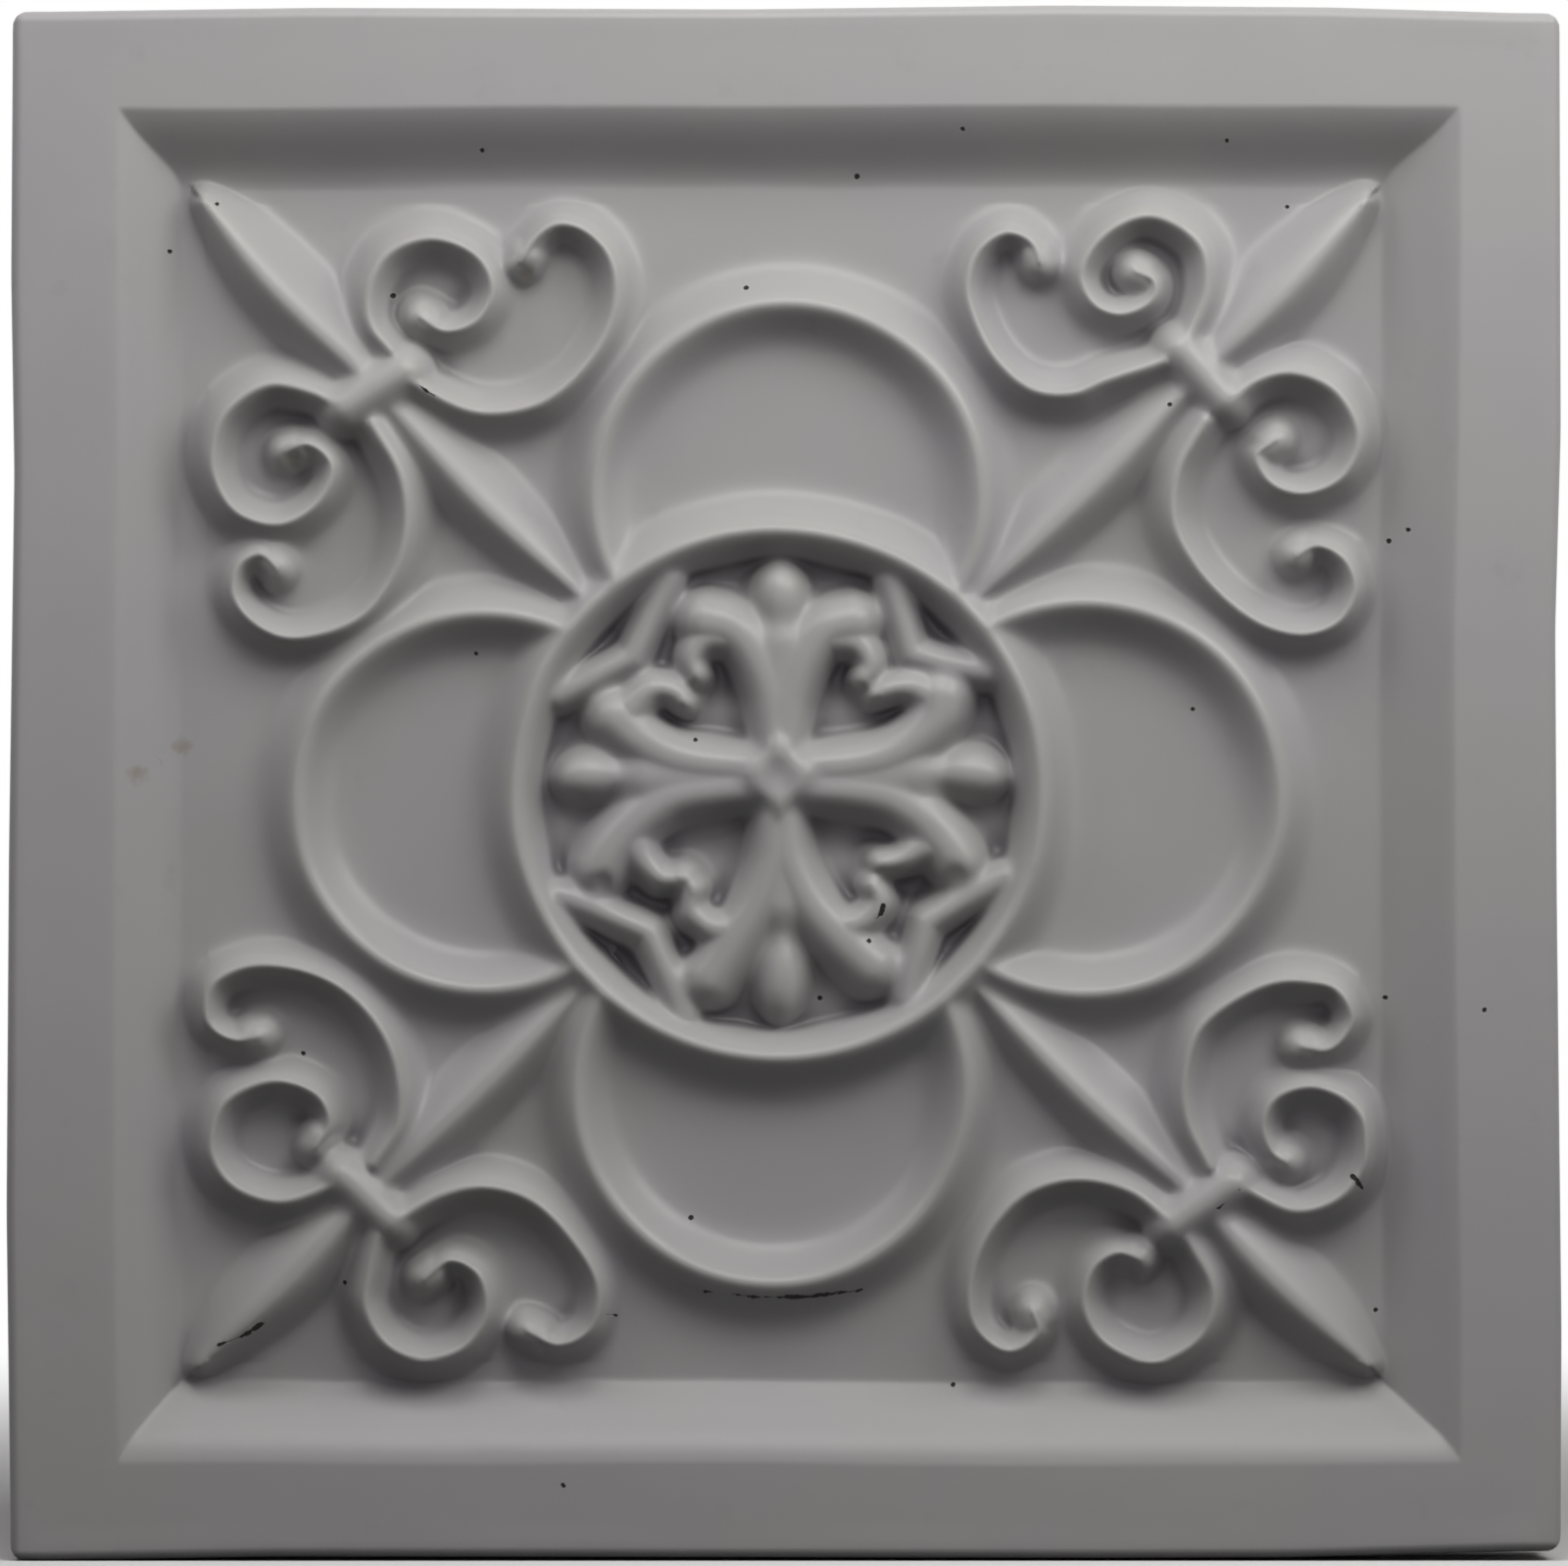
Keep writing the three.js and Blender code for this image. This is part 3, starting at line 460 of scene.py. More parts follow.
class Relief:
    """Heights of the named elements over the grid, in millimetres over the panel's ground."""

    def __init__(self):
        self.heights = {}

    def add(self, name, height, rows=slice(None), columns=slice(None)):
        whole = self.heights.setdefault(name, np.full(X.shape, FAR, np.float32))
        whole[rows, columns] = np.maximum(whole[rows, columns], height)

    def window(self, points, margin):
        low = points.min(0) - margin
        high = points.max(0) + margin
        columns = slice(*np.searchsorted(lines, [low[0], high[0]]))
        rows = slice(*np.searchsorted(lines, [low[1], high[1]]))
        return rows, columns

    def ridge(self, name, points, half, rise, floor=0.0, shape=None, profile=swell, inner=None):
        """A ridge along a smooth line. half and rise are one number, or [at the start, at the end]
        of the line, and shape is the share of both along it. inner is half on the side to which
        the line curls."""
        line = smooth_line(points)
        inner = half if inner is None else inner
        steps = np.diff(line, axis=0)
        runs = np.linalg.norm(steps, axis=1)
        t = np.concatenate([[0], np.cumsum(runs)]) / runs.sum()
        share = np.ones_like(t) if shape is None else shape(t)
        bends = steps[:-1, 0] * steps[1:, 1] - steps[:-1, 1] * steps[1:, 0]
        left, right = (inner, half) if bends.sum() > 1e-6 else (half, inner)
        left = np.interp(t, [0, 1], np.broadcast_to(left, 2)) * share
        right = np.interp(t, [0, 1], np.broadcast_to(right, 2)) * share
        rises = np.interp(t, [0, 1], np.broadcast_to(rise, 2)) * np.sqrt(share)
        rows, columns = self.window(line, max(left.max(), right.max()) + PAST_FOOT)
        x = UNEVEN_X[rows, columns].ravel()
        z = UNEVEN_Z[rows, columns].ravel()
        best = np.full(x.shape, FAR)
        for i, ((ax, az), (bx, bz)) in enumerate(zip(line, steps)):
            at = np.clip(((x - ax) * bx + (z - az) * bz) / (bx * bx + bz * bz), 0, 1)
            distance = np.hypot(x - ax - at * bx, z - az - at * bz)
            on_left = bx * (z - az) - bz * (x - ax) > 0
            to_left = left[i] + at * (left[i + 1] - left[i])
            to_right = right[i] + at * (right[i + 1] - right[i])
            width = np.where(on_left, to_left, to_right)
            top = rises[i] + at * (rises[i + 1] - rises[i])
            np.maximum(best, floor + top * profile(distance / width), out=best)
        self.add(name, best.reshape(X[rows, columns].shape), rows, columns)


relief = Relief()


def fall_of(share, side):
    """Fall of a moulding from the face to its foot, out of its steepness on the way."""
    steps = np.linspace(0, 1, 201)
    steepness = np.interp(steps, *zip(*STEEPNESS[side]))
    fall = np.concatenate([[0], np.cumsum((steepness[1:] + steepness[:-1]) / 2)])
    return np.interp(share, steps, fall / fall[-1])


def edge_fall(x, z):
    """How far the rounded outer edge lies below the face or the back."""
    edge = np.clip(HALF - np.maximum(np.abs(x), np.abs(z)), 0, EDGE_RADIUS)
    return EDGE_RADIUS - np.sqrt(np.clip(EDGE_RADIUS**2 - (EDGE_RADIUS - edge) ** 2, 0, None))


def frame_side(distance, side):
    """Height of the frame at a distance from the tile's middle, square to one side."""
    face, foot = MOULDING[side]
    slope = 1 - fall_of(np.clip((face - distance) / (face - foot), 0, 1), side)
    return np.where(distance < foot, distance - foot, FRAME_RISE * slope - edge_fall(X, Z))


def add_frame():
    bow = FRAME_BOW * waves(X, Z, 60, 160, SEED + 2)
    for side, distance in (("left", -X), ("right", X), ("top", Z), ("bottom", -Z)):
        bowed = distance + bow * (np.abs(distance) < HALF - EDGE_ZONE)
        relief.add("frame_" + side, frame_side(bowed, side))


def add_centre_ring():
    radius = np.hypot(UNEVEN_X - RING_X, UNEVEN_Z - RING_Z)
    outer = RING_RISE * swell((radius - RING_CREST) / (RING_FOOT + RING_FILLET - RING_CREST))
    inward = np.clip((RING_CREST - radius) / (RING_CREST - RING_WALL_FOOT), 0, 1)
    inner = MEDALLION_FLOOR + (RING_RISE - MEDALLION_FLOOR) * wall(inward)
    height = np.where(radius > RING_CREST, outer, inner)
    height = np.where(radius < RING_WALL_FOOT, MEDALLION_FLOOR - 1, height)
    relief.add("centre_ring", np.where(radius > RING_FOOT + RING_END, FAR, height))
    return radius


def add_foils(ring_radius):
    for side, (x, z, radius) in FOILS.items():
        x, z = crest([x, z])
        offset = np.hypot(UNEVEN_X - x, UNEVEN_Z - z) - radius
        height = FOIL_RISE * swell(np.abs(offset) / FOIL_HALF)
        hidden = (ring_radius < RING_CREST) | (np.abs(offset) > FOIL_HALF + PAST_FOOT)
        relief.add("foil_ring_" + side, np.where(hidden, FAR, height))


def cusp_points(start, tip, end, reach):
    """Ends of a cusp's two ribs on the ring's wall, with their meeting point between them."""
    turns = np.radians([start, tip, end])
    radii = RING_WALL_FOOT + np.array([CUSP_SUNK, -reach, CUSP_SUNK])
    return np.stack([RING_X + radii * np.cos(turns), RING_Z + radii * np.sin(turns)], 1)


def pockets():
    """Depth of the four pockets between the cusps and the ring's wall."""
    depth = np.zeros(X.shape)
    for cusp in CUSPS.values():
        start, tip, end = cusp_points(*cusp)
        behind = []
        for a, b in ((start, tip), (tip, end)):
            run = (b - a) / np.linalg.norm(b - a)
            behind.append((X - a[0]) * run[1] - (Z - a[1]) * run[0])
        inside = smoothstep(*POCKET_WALL, np.minimum(*behind))
        depth = np.maximum(depth, POCKET_DEPTH * inside)
    return depth


def add_in_medallion(name, points, half, top, profile=round_bar, shape=None):
    """A ridge that stands on the medallion's ground, with its top over the panel's ground."""
    rise = np.subtract(top, MEDALLION_FLOOR)
    relief.ridge(name, points, half, rise, MEDALLION_FLOOR, shape, profile)


def add_cusps():
    for corner, cusp in CUSPS.items():
        start, tip, end = cusp_points(*cusp)
        for rib in ([start, tip], [tip, end]):
            add_in_medallion("cusp_" + corner, rib, CUSP_HALF, CUSP_TOP)


def add_boss():
    x, z = BOSS
    across = np.abs(UNEVEN_X - x) / BOSS_HALF_WIDTH
    up = np.abs(UNEVEN_Z - z) / BOSS_HALF_HEIGHT
    share = (across**BOSS_ROUNDNESS + up**BOSS_ROUNDNESS) ** (1 / BOSS_ROUNDNESS)
    rise = BOSS_TOP - MEDALLION_FLOOR
    body = MEDALLION_FLOOR + rise * np.clip(1 - share**4, 0, 1) ** 0.9
    off = np.hypot(UNEVEN_X - x, UNEVEN_Z - z) / BOSS_DISH_RADIUS
    dish = BOSS_DISH * np.exp(-(off**2))
    relief.add("cross_boss", np.where(share < 1, body - dish, FAR))


# Deep places between the fronds, and the eyes of scrolls and curls: x, z, radius and depth
HOLLOWS = [(-7.4, -5.2, 3.2, 2.8), (8.5, -5.2, 3.2, 1.8), (7.8, 13.6, 2.4, 1.4), (-7.6, 13.6, 2.4, 1.2)]
EYES = [
    (-63.3, 41.5, 1.3, 1.6), (-33.3, 65.6, 1.2, 1.4), (-27.8, 68.6, 1.0, 0.8), (-68.1, 26.6, 1.3, 1.4),
    (29.1, 68.1, 1.2, 1.4), (69.0, 28.5, 1.2, 1.4), (44.2, -63.0, 1.3, 1.6), (28.4, -66.1, 1.2, 1.2),
    (69.7, -27.7, 1.2, 1.4), (-65.8, -41.8, 1.3, 1.6), (-42.4, -63.9, 1.2, 1.4),
    (-13.4, 8.3, 1.2, 1.6), (12.2, 9.3, 1.3, 1.8), (-14.6, -15.3, 1.4, 1.6), (15.6, -13.2, 1.4, 1.6),
    (-12.4, -20.8, 1.3, 1.4), (22.0, -11.9, 1.2, 1.0), (-23.4, -12.9, 1.2, 1.2),
]


def dips(places):
    depth = np.zeros(X.shape)
    for x, z, radius, deep in places:
        depth += deep * np.exp(-((X - x) ** 2 + (Z - z) ** 2) / radius**2)
    return depth


def bud_shape(t):
    return np.clip(np.sin(math.pi * (0.08 + 0.84 * t**1.5)), 0.2, 1)


def add_cross():
    for side, parts in FRONDS.items():
        name = "frond_" + side
        for points in parts["leaflets"]:
            add_in_medallion(name, points, LEAFLET_HALF, LEAFLET_TOP)
        for points in parts["curls"]:
            add_in_medallion(name, points, CURL_HALF, CURL_TOP)
            inner, last = np.array(points[-2:], float)
            knob = [last + (inner - last) * 0.2, last]
            add_in_medallion(name, knob, CURL_KNOB_HALF, CURL_KNOB_TOP, roll)
        add_in_medallion(name, parts["web"], WEB_HALF, WEB_TOP, roll)
        add_in_medallion("bud_" + side, parts["bud"], BUD_HALF, BUD_TOP, shape=bud_shape)


def leaf_shape(t):
    wave = np.sin(math.pi * np.clip(0.12 + 0.85 * t, 0, 1))
    return 0.3 + 0.7 * np.clip(wave, 0, 1) ** 0.8


def add_fleur(corner, drawing):
    sx, sz = drawing["signs"]
    u, v = drawing["inset"]
    x = sx * (PANEL_HALF - u)
    z = sz * (PANEL_HALF - v)
    length, degrees = drawing["collar"]
    turn = math.radians(degrees)
    reach = (length / 2 - COLLAR_END) * np.array([math.cos(turn), math.sin(turn)])
    middle = crest([x, z])
    collar = [middle - reach, middle, middle + reach]
    relief.ridge(corner + "_collar", collar, COLLAR_HALF, COLLAR_RISE, profile=roll)
    centre = np.array([RING_X, RING_Z])
    outward = (middle - centre) / np.linalg.norm(middle - centre)
    foot = centre + outward * RING_CREST
    tip = np.array([sx, sz]) * (PANEL_HALF - SPEAR_TIP_INSET)
    slip = LEAF_SLIP * np.array([sx * sz, -1]) / math.sqrt(2)
    for name, end, lower, upper, rise in (
        ("_spear", tip, SPEAR_LOWER, SPEAR_UPPER, SPEAR_RISE),
        ("_stem", foot, STEM_LOWER, STEM_UPPER, STEM_RISE),
    ):
        leaf = [middle, (middle + end) / 2 + slip, end]
        relief.ridge(corner + name, leaf, lower, rise, 0.0, leaf_shape, blade, upper)
    for name, points in drawing["scrolls"].items():
        turned = crest([[x + sx * a, z + sz * b] for a, b in points])
        relief.ridge(
            f"{corner}_{name}", turned, [SCROLL_OUTER, SCROLL_END], [SCROLL_RISE, SCROLL_END_RISE],
            inner=[SCROLL_INNER, SCROLL_END],
        )
        knob = [(turned[-2] + 2 * turned[-1]) / 3, turned[-1]]
        relief.ridge(f"{corner}_{name}", knob, KNOB_HALF, KNOB_RISE, profile=round_bar)


add_frame()
ring_radius = add_centre_ring()
add_foils(ring_radius)
add_cusps()
add_boss()
add_cross()
for corner, drawing in CORNERS.items():
    add_fleur(corner, drawing)


# One surface out of the elements

def smooth_max(a, b, width):
    """The higher of two heights, with a fillet where they cross."""
    return np.maximum(a, b) + np.clip(width - np.abs(a - b), 0, None) ** 2 / (4 * width)


def blurred(values, radius):
    """Values blurred over a radius in millimetres, as if the grid were even."""
    passes = 3
    reach = max(1, int(round(radius / STEP)))
    kernel = np.ones(2 * reach + 1) / (2 * reach + 1)
    for _ in range(passes):
        for axis in (0, 1):
            padded = np.pad(values, [(reach, reach) if a == axis else (0, 0) for a in (0, 1)], "edge")
            values = np.apply_along_axis(np.convolve, axis, padded, kernel, "valid")
    return values


FRAME_SIDES = ["frame_" + side for side in MOULDING]
floor = MEDALLION_FLOOR - pockets() - dips(HOLLOWS)
ground = np.where(ring_radius < RING_WALL_FOOT + FLOOR_UNDER_WALL, floor, 0.0)
ground = ground + GROUND_WAVE * waves(X, Z, 14, 40, SEED + 3)
ornament = np.zeros(X.shape)
blend = BLEND - (BLEND - CROSS_BLEND) * smoothstep(RING_WALL_FOOT, RING_WALL_FOOT - 3, ring_radius)
for name, height in relief.heights.items():
    if name not in FRAME_SIDES:
        ornament += np.exp(blend * (np.asarray(height, float) - BLEND_BASE))
ornament = np.log(np.maximum(ornament, 1e-30)) / blend + BLEND_BASE
ornament = ornament - dips(EYES) * (ornament > BLEND_BASE + 1)
sides = np.max([relief.heights[name] for name in FRAME_SIDES], axis=0)
height = smooth_max(smooth_max(ground, ornament, GROUND_FILLET), sides, FRAME_FILLET)
change = blurred(height, SMOOTH_RADIUS) - height
rounder = FILL_SHARE * np.maximum(change, 0) + WEAR_SHARE * np.minimum(change, 0)
outward = np.maximum(np.abs(X), np.abs(Z))
inside = outward < HALF - EDGE_ZONE
height = height + rounder * np.where(outward > PANEL_HALF - CRISP_ZONE, CRISP_SHARE, 1) * inside
# How far each place lies below the smoothed surface; by it the glaze darkens the hollows (pooled glaze
# and painted shade) and lightens the crests (thin glaze and painted highlight)
hollow = blurred(height, HOLLOW_RADIUS) - height
dent = FACE_WAVE * (1 + waves(X, Z, 20, 60, SEED + 4)) * inside
height = np.minimum(height - dent, FRAME_RISE)


# Cutting the surface into pieces

def normals_of(points):
    """Unit normals of a grid of points, toward -Y."""
    along_z, along_x = np.gradient(points, axis=(0, 1))
    normals = np.cross(along_x, along_z)
    return normals / np.linalg.norm(normals, axis=2, keepdims=True)


place_x, place_z = placed(X, Z)
surface = np.stack([place_x, GROUND_Y - height, place_z], axis=2)
normals = normals_of(surface)

names = list(relief.heights) + ["panel_ground", "medallion_ground"]
claims = np.full((len(names), X.size), FAR, np.float32)
for i, name in enumerate(names[:-2]):
    claims[i] = relief.heights[name].ravel()
slant = 0.02 * (np.abs(Z) - np.abs(X)).ravel()  # puts the cuts between two sides on the mitres
for name in FRAME_SIDES:
    claims[names.index(name)] += slant if name in ("frame_top", "frame_bottom") else -slant
outside = ring_radius.ravel() > RING_CREST
claims[-2] = np.where(outside, TOE, FAR)
claims[-1] = np.where(outside, FAR, floor.ravel() + TOE)
owner = claims.argmax(axis=0)


def cells(ids):
    """The four corners of each cell of a grid of ids, one after the other round the cell."""
    return ids[:-1, :-1].ravel(), ids[:-1, 1:].ravel(), ids[1:, 1:].ravel(), ids[1:, :-1].ravel()


a, b, c, d = cells(np.arange(X.size).reshape(X.shape))
flat_height = height.ravel()
rising = np.abs(flat_height[a] - flat_height[c]) <= np.abs(flat_height[b] - flat_height[d])
triangles = np.concatenate([
    np.stack([a, b, c], 1)[rising], np.stack([a, c, d], 1)[rising],
    np.stack([a, b, d], 1)[~rising], np.stack([b, c, d], 1)[~rising],
])


NEAREST_CUT = 0.1  # share of an edge that is left between a cut and the edge's end


class Cutter:
    """Splits triangles whose corners belong to different pieces along the line between them."""

    def __init__(self, points, extras):
        self.values = np.hstack([points, extras])
        self.triangles = []
        self.owners = []

    def keep(self, corners, owners):
        self.triangles.append(corners)
        self.owners.append(owners)

    def edge_points(self, pairs):
        """Ids of the points that split these edges, made once for each edge."""
        low = pairs.min(axis=1).astype(np.int64)
        high = pairs.max(axis=1).astype(np.int64)
        size = X.size
        keys, which = np.unique(low * size + high, return_inverse=True)
        i, j = keys // size, keys % size
        first, second = owner[i], owner[j]
        lead = claims[first, i] - claims[second, i]
        trail = claims[second, j] - claims[first, j]
        share = lead / np.maximum(lead + trail, 1e-6)
        share = np.clip(share, NEAREST_CUT, 1 - NEAREST_CUT)[:, None]
        made = self.values[i] * (1 - share) + self.values[j] * share
        start = len(self.values)
        self.values = np.vstack([self.values, made])
        return start + which.reshape(-1)

    def run(self):
        own = owner[triangles]
        same = (own[:, 0] == own[:, 1]) & (own[:, 1] == own[:, 2])
        self.keep(triangles[same], own[same, 0])
        mixed, kinds = triangles[~same], own[~same]
        odd = np.full(len(mixed), 3)
        odd[kinds[:, 1] == kinds[:, 2]] = 0
        odd[kinds[:, 0] == kinds[:, 2]] = 1
        odd[kinds[:, 0] == kinds[:, 1]] = 2
        two, three = odd < 3, odd == 3
        turn = (odd[two][:, None] + np.arange(3)) % 3
        corners = np.take_along_axis(mixed[two], turn, 1)
        whose = np.take_along_axis(kinds[two], turn, 1)
        centres = mixed[three]
        pairs = np.vstack([
            corners[:, [0, 1]], corners[:, [0, 2]],
            centres[:, [0, 1]], centres[:, [1, 2]], centres[:, [2, 0]],
        ])
        ids = self.edge_points(pairs)
        n, m = len(corners), len(centres)
        u, v = ids[:n], ids[n:2 * n]
        p, q, r = corners.T
        self.keep(np.stack([p, u, v], 1), whose[:, 0])
        self.keep(np.stack([u, q, r], 1), whose[:, 1])
        self.keep(np.stack([u, r, v], 1), whose[:, 1])
        sides_of = [ids[2 * n + k * m:2 * n + (k + 1) * m] for k in range(3)]
        start = len(self.values)
        self.values = np.vstack([self.values, sum(self.values[s] for s in sides_of) / 3])
        middle = start + np.arange(m)
        for k in range(3):
            after, before = sides_of[k], sides_of[(k + 2) % 3]
            self.keep(np.stack([centres[:, k], after, middle], 1), kinds[three][:, k])
            self.keep(np.stack([centres[:, k], middle, before], 1), kinds[three][:, k])
        return np.vstack(self.triangles), np.concatenate(self.owners)


extras = np.hstack([normals.reshape(-1, 3), hollow.reshape(-1, 1)])
cutter = Cutter(surface.reshape(-1, 3), extras)
skin, skin_owner = cutter.run()
skin_points = cutter.values[:, :3]
skin_normals = cutter.values[:, 3:6]
skin_normals = skin_normals / np.linalg.norm(skin_normals, axis=1, keepdims=True)
skin_hollow = cutter.values[:, 6]


# Marks on the glaze, x and z: pinholes, brown spots, and lines of painted shade in creases and under
# ridges
PINHOLES = [
    (-79.1, 68.5), (-50.4, 62.8), (-73.0, 74.6), (-38.9, 81.5), (9.4, 78.2), (23.0, 84.1),
    (-4.9, 63.8), (57.0, 82.7), (64.9, 74.3), (49.6, 48.7), (80.4, 32.6), (78.0, 31.2),
    (-39.7, 16.7), (-11.4, 5.6), (4.6, -27.8), (11.0, -20.4), (52.7, 9.5), (90.0, -29.2),
    (77.5, -27.7), (-56.6, -64.4), (-91.0, -73.8), (-62.0, -34.9), (-12.0, -56.1), (21.8, -77.6),
    (-28.4, -90.3), (76.3, -68.0),
]
# Darker brown spots; two of them lie in the eyes of scrolls
BROWN_SPOTS = [(-77.7, 4.7), (-83.2, 1.1), (-63.4, 41.6), (-33.4, 65.4)]
# Lines of painted shade, in creases and under ridges, where shade falls
SHADE_LINES = [
    [(-72.8, -72.4), (-70.2, -71.4), (-67.1, -69.6)],
    [(-10.1, -65.4), (-3.5, -66.2), (3.2, -66.2), (10.1, -65.3)],
    [(-24.2, -68.2), (-21.6, -68.6)],
    [(73.2, -50.6), (74.6, -52.4)],
    [(55.6, -54.8), (57.6, -53.4), (58.6, -52.2)],
    [(12.8, -15.8), (12.4, -16.9), (11.8, -17.6)],
    [(-47.0, 51.2), (-45.6, 50.1), (-43.9, 49.2)],
    [(-4.4, 8.0), (-3.6, 7.1)],
]
FAULT_AND_SHADE_REACH = 1.1  # farther away than this, a pinhole or a line of painted shade has no effect
BROWN_SPOT_REACH = 4.0
NOWHERE = 99.0


def away_from(points, reach):
    """Way to each place of the skin from the nearest of the points, in millimetres. Beyond the
    reach the second number is large, so that the length stays large between two points."""
    ways = np.full(skin_points.shape, NOWHERE)
    for x, z in points:
        way = skin_points - [x, 0, z]
        way[:, 1] = np.where(np.hypot(way[:, 0], way[:, 2]) > reach, NOWHERE, 0.0)
        nearer = np.hypot(way[:, 0], way[:, 2]) < np.hypot(ways[:, 0], ways[:, 2])
        ways[nearer] = way[nearer]
    return ways


def away_from_lines(rows, reach):
    """The same from straight lines: how far to the side, and how far past either end."""
    ways = np.full(skin_points.shape, NOWHERE)
    for points in rows:
        for a, b in zip(np.array(points), np.array(points[1:])):
            length = np.linalg.norm(b - a)
            run = (b - a) / length
            start = skin_points[:, [0, 2]] - a
            side = start[:, 0] * run[1] - start[:, 1] * run[0]
            along = start @ run
            past = along - np.clip(along, 0, length)
            far = np.where(np.hypot(side, past) > reach, NOWHERE, 0.0)
            nearer = np.hypot(side, past) < np.hypot(ways[:, 0], ways[:, 2])
            ways[nearer] = np.stack([side, far, past], 1)[nearer]
    return ways


skin_details = {
    "hollow": skin_hollow,
    "pinhole": away_from(PINHOLES, FAULT_AND_SHADE_REACH),
    "brown_spot": away_from(BROWN_SPOTS, BROWN_SPOT_REACH),
    "shade_line": away_from_lines(SHADE_LINES, FAULT_AND_SHADE_REACH),
}


# Meshes

def boundary_loops(faces):
    """Directed loops of vertices round the open edges of a set of triangles."""
    edges = np.vstack([faces[:, [0, 1]], faces[:, [1, 2]], faces[:, [2, 0]]]).astype(np.int64)
    size = faces.max() + 1
    keys = edges[:, 0] * size + edges[:, 1]
    back = edges[:, 1] * size + edges[:, 0]
    free = edges[~np.isin(keys, back)]
    follow = dict(zip(free[:, 0].tolist(), free[:, 1].tolist()))
    loops = []
    while follow:
        start, at = follow.popitem()
        loop = [start]
        while at != start:
            loop.append(at)
            at = follow.pop(at)
        loops.append(loop)
    return loops


def regions(faces, count):
    """A label for each vertex, the same for all that hang together by faces."""
    label = np.arange(count)
    while True:
        lowest = label[faces].min(axis=1)
        before = label.copy()
        for k in range(3):
            np.minimum.at(label, faces[:, k], lowest)
        label = label[label]
        if (label == before).all():
            return label


def filled(loops, points):
    """Triangles that fill the flat loops of one region, facing the back."""
    flat = [[Vector((points[i][0], points[i][2], 0)) for i in loop] for loop in loops]
    ids = [i for loop in loops for i in loop]
    found = np.array([[ids[k] for k in face] for face in tessellate_polygon(flat)])
    xz = points[:, [0, 2]]
    one, two = xz[found[:, 1]] - xz[found[:, 0]], xz[found[:, 2]] - xz[found[:, 0]]
    turn = one[:, 0] * two[:, 1] - one[:, 1] * two[:, 0]
    found[turn > 0] = found[turn > 0][:, ::-1]
    return found


def to_metres(points):
    middle = (cad_low.z + cad_high.z) / 2
    return points * MM + np.array([0, 0, middle])


def shown(name, data):
    made = bpy.data.objects.new(name, data)
    bpy.context.scene.collection.objects.link(made)
    return made


def make_object(name, points, faces, material, corner_normals=None, details=None):
    mesh = bpy.data.meshes.new(name)
    mesh.vertices.add(len(points))
    mesh.vertices.foreach_set("co", to_metres(points).astype(np.float32).ravel())
    mesh.loops.add(len(faces) * 3)
    mesh.loops.foreach_set("vertex_index", faces.astype(np.int32).ravel())
    mesh.polygons.add(len(faces))
    mesh.polygons.foreach_set("loop_start", np.arange(0, len(faces) * 3, 3, dtype=np.int32))
    mesh.polygons.foreach_set("use_smooth", np.ones(len(faces), bool))
    mesh.update(calc_edges=True)
    if corner_normals is None:
        mesh.set_sharp_from_angle(angle=math.radians(35))
    else:
        for key, values in details.items():
            kind, field = ("FLOAT", "value") if values.ndim == 1 else ("FLOAT_VECTOR", "vector")
            attribute = mesh.attributes.new(key, kind, "POINT")
            attribute.data.foreach_set(field, values.astype(np.float32).ravel())
        mesh.normals_split_custom_set(corner_normals.reshape(-1, 3))
    mesh.materials.append(material)
    return shown(name, mesh)


def face_normals(points, faces):
    one = points[faces[:, 1]] - points[faces[:, 0]]
    two = points[faces[:, 2]] - points[faces[:, 0]]
    normals = np.cross(one, two)
    return normals / np.maximum(np.linalg.norm(normals, axis=1, keepdims=True), 1e-12)


def closed_piece(name, faces, floor, material):
    """A piece of the skin with walls down to a flat underside."""
    used, local = np.unique(faces, return_inverse=True)
    top = local.reshape(-1, 3)
    points = skin_points[used]
    loops = boundary_loops(top)
    rim = np.array([i for loop in loops for i in loop])
    below = points[rim].copy()
    below[:, 1] = GROUND_Y - floor
    under = dict(zip(rim.tolist(), range(len(points), len(points) + len(rim))))
    walls = []
    for loop in loops:
        for i, j in zip(loop, loop[1:] + loop[:1]):
            walls.append([j, i, under[i]])
            walls.append([j, under[i], under[j]])
    every = np.vstack([points, below])
    label = regions(top, len(points))
    bottoms = []
    for region in np.unique(label[rim]):
        around = [[under[i] for i in loop] for loop in loops if label[loop[0]] == region]
        bottoms.append(filled(around, every))
    rest = np.vstack([np.array(walls)] + bottoms)
    corner_normals = np.concatenate([
        skin_normals[used][top],
        np.repeat(face_normals(every, rest)[:, None, :], 3, axis=1),
    ])
    kept = np.concatenate([used, used[rim]])
    details = {key: values[kept] for key, values in skin_details.items()}
    return make_object(name, every, np.vstack([top, rest]), material, corner_normals, details)


# Clay body under the skin

CLAY_INSET = 0.15
GROOVE_COUNT = 6
GROOVE_PITCH = 30
GROOVE_MOUTH = 8
GROOVE_FLOOR = 6
GROOVE_DEPTH = 2
GROOVE_EASE = 0.2  # how far each wall of a groove is rounded past its ends
SIDE_ROWS = 10
SIDE_WAY = 60  # stands for the way round the sides, in millimetres per radian
RECESS_POINTS = 120
SLAB_ROUGH = 0.12  # unevenness of the back
SLAB_DRAG = 0.03  # marks drawn along it
SLAB_DENT = 0.1  # unevenness of the sides


def groove_depth(z):
    """Depth of the keying grooves at a height on the back."""
    last = (GROOVE_COUNT - 1) / 2
    nearest = np.clip(np.round(z / GROOVE_PITCH + last), 0, GROOVE_COUNT - 1) - last
    off = np.abs(z - nearest * GROOVE_PITCH)
    mouth, foot = GROOVE_MOUTH / 2 + GROOVE_EASE, GROOVE_FLOOR / 2 - GROOVE_EASE
    return GROOVE_DEPTH * smoothstep(mouth, foot, off)


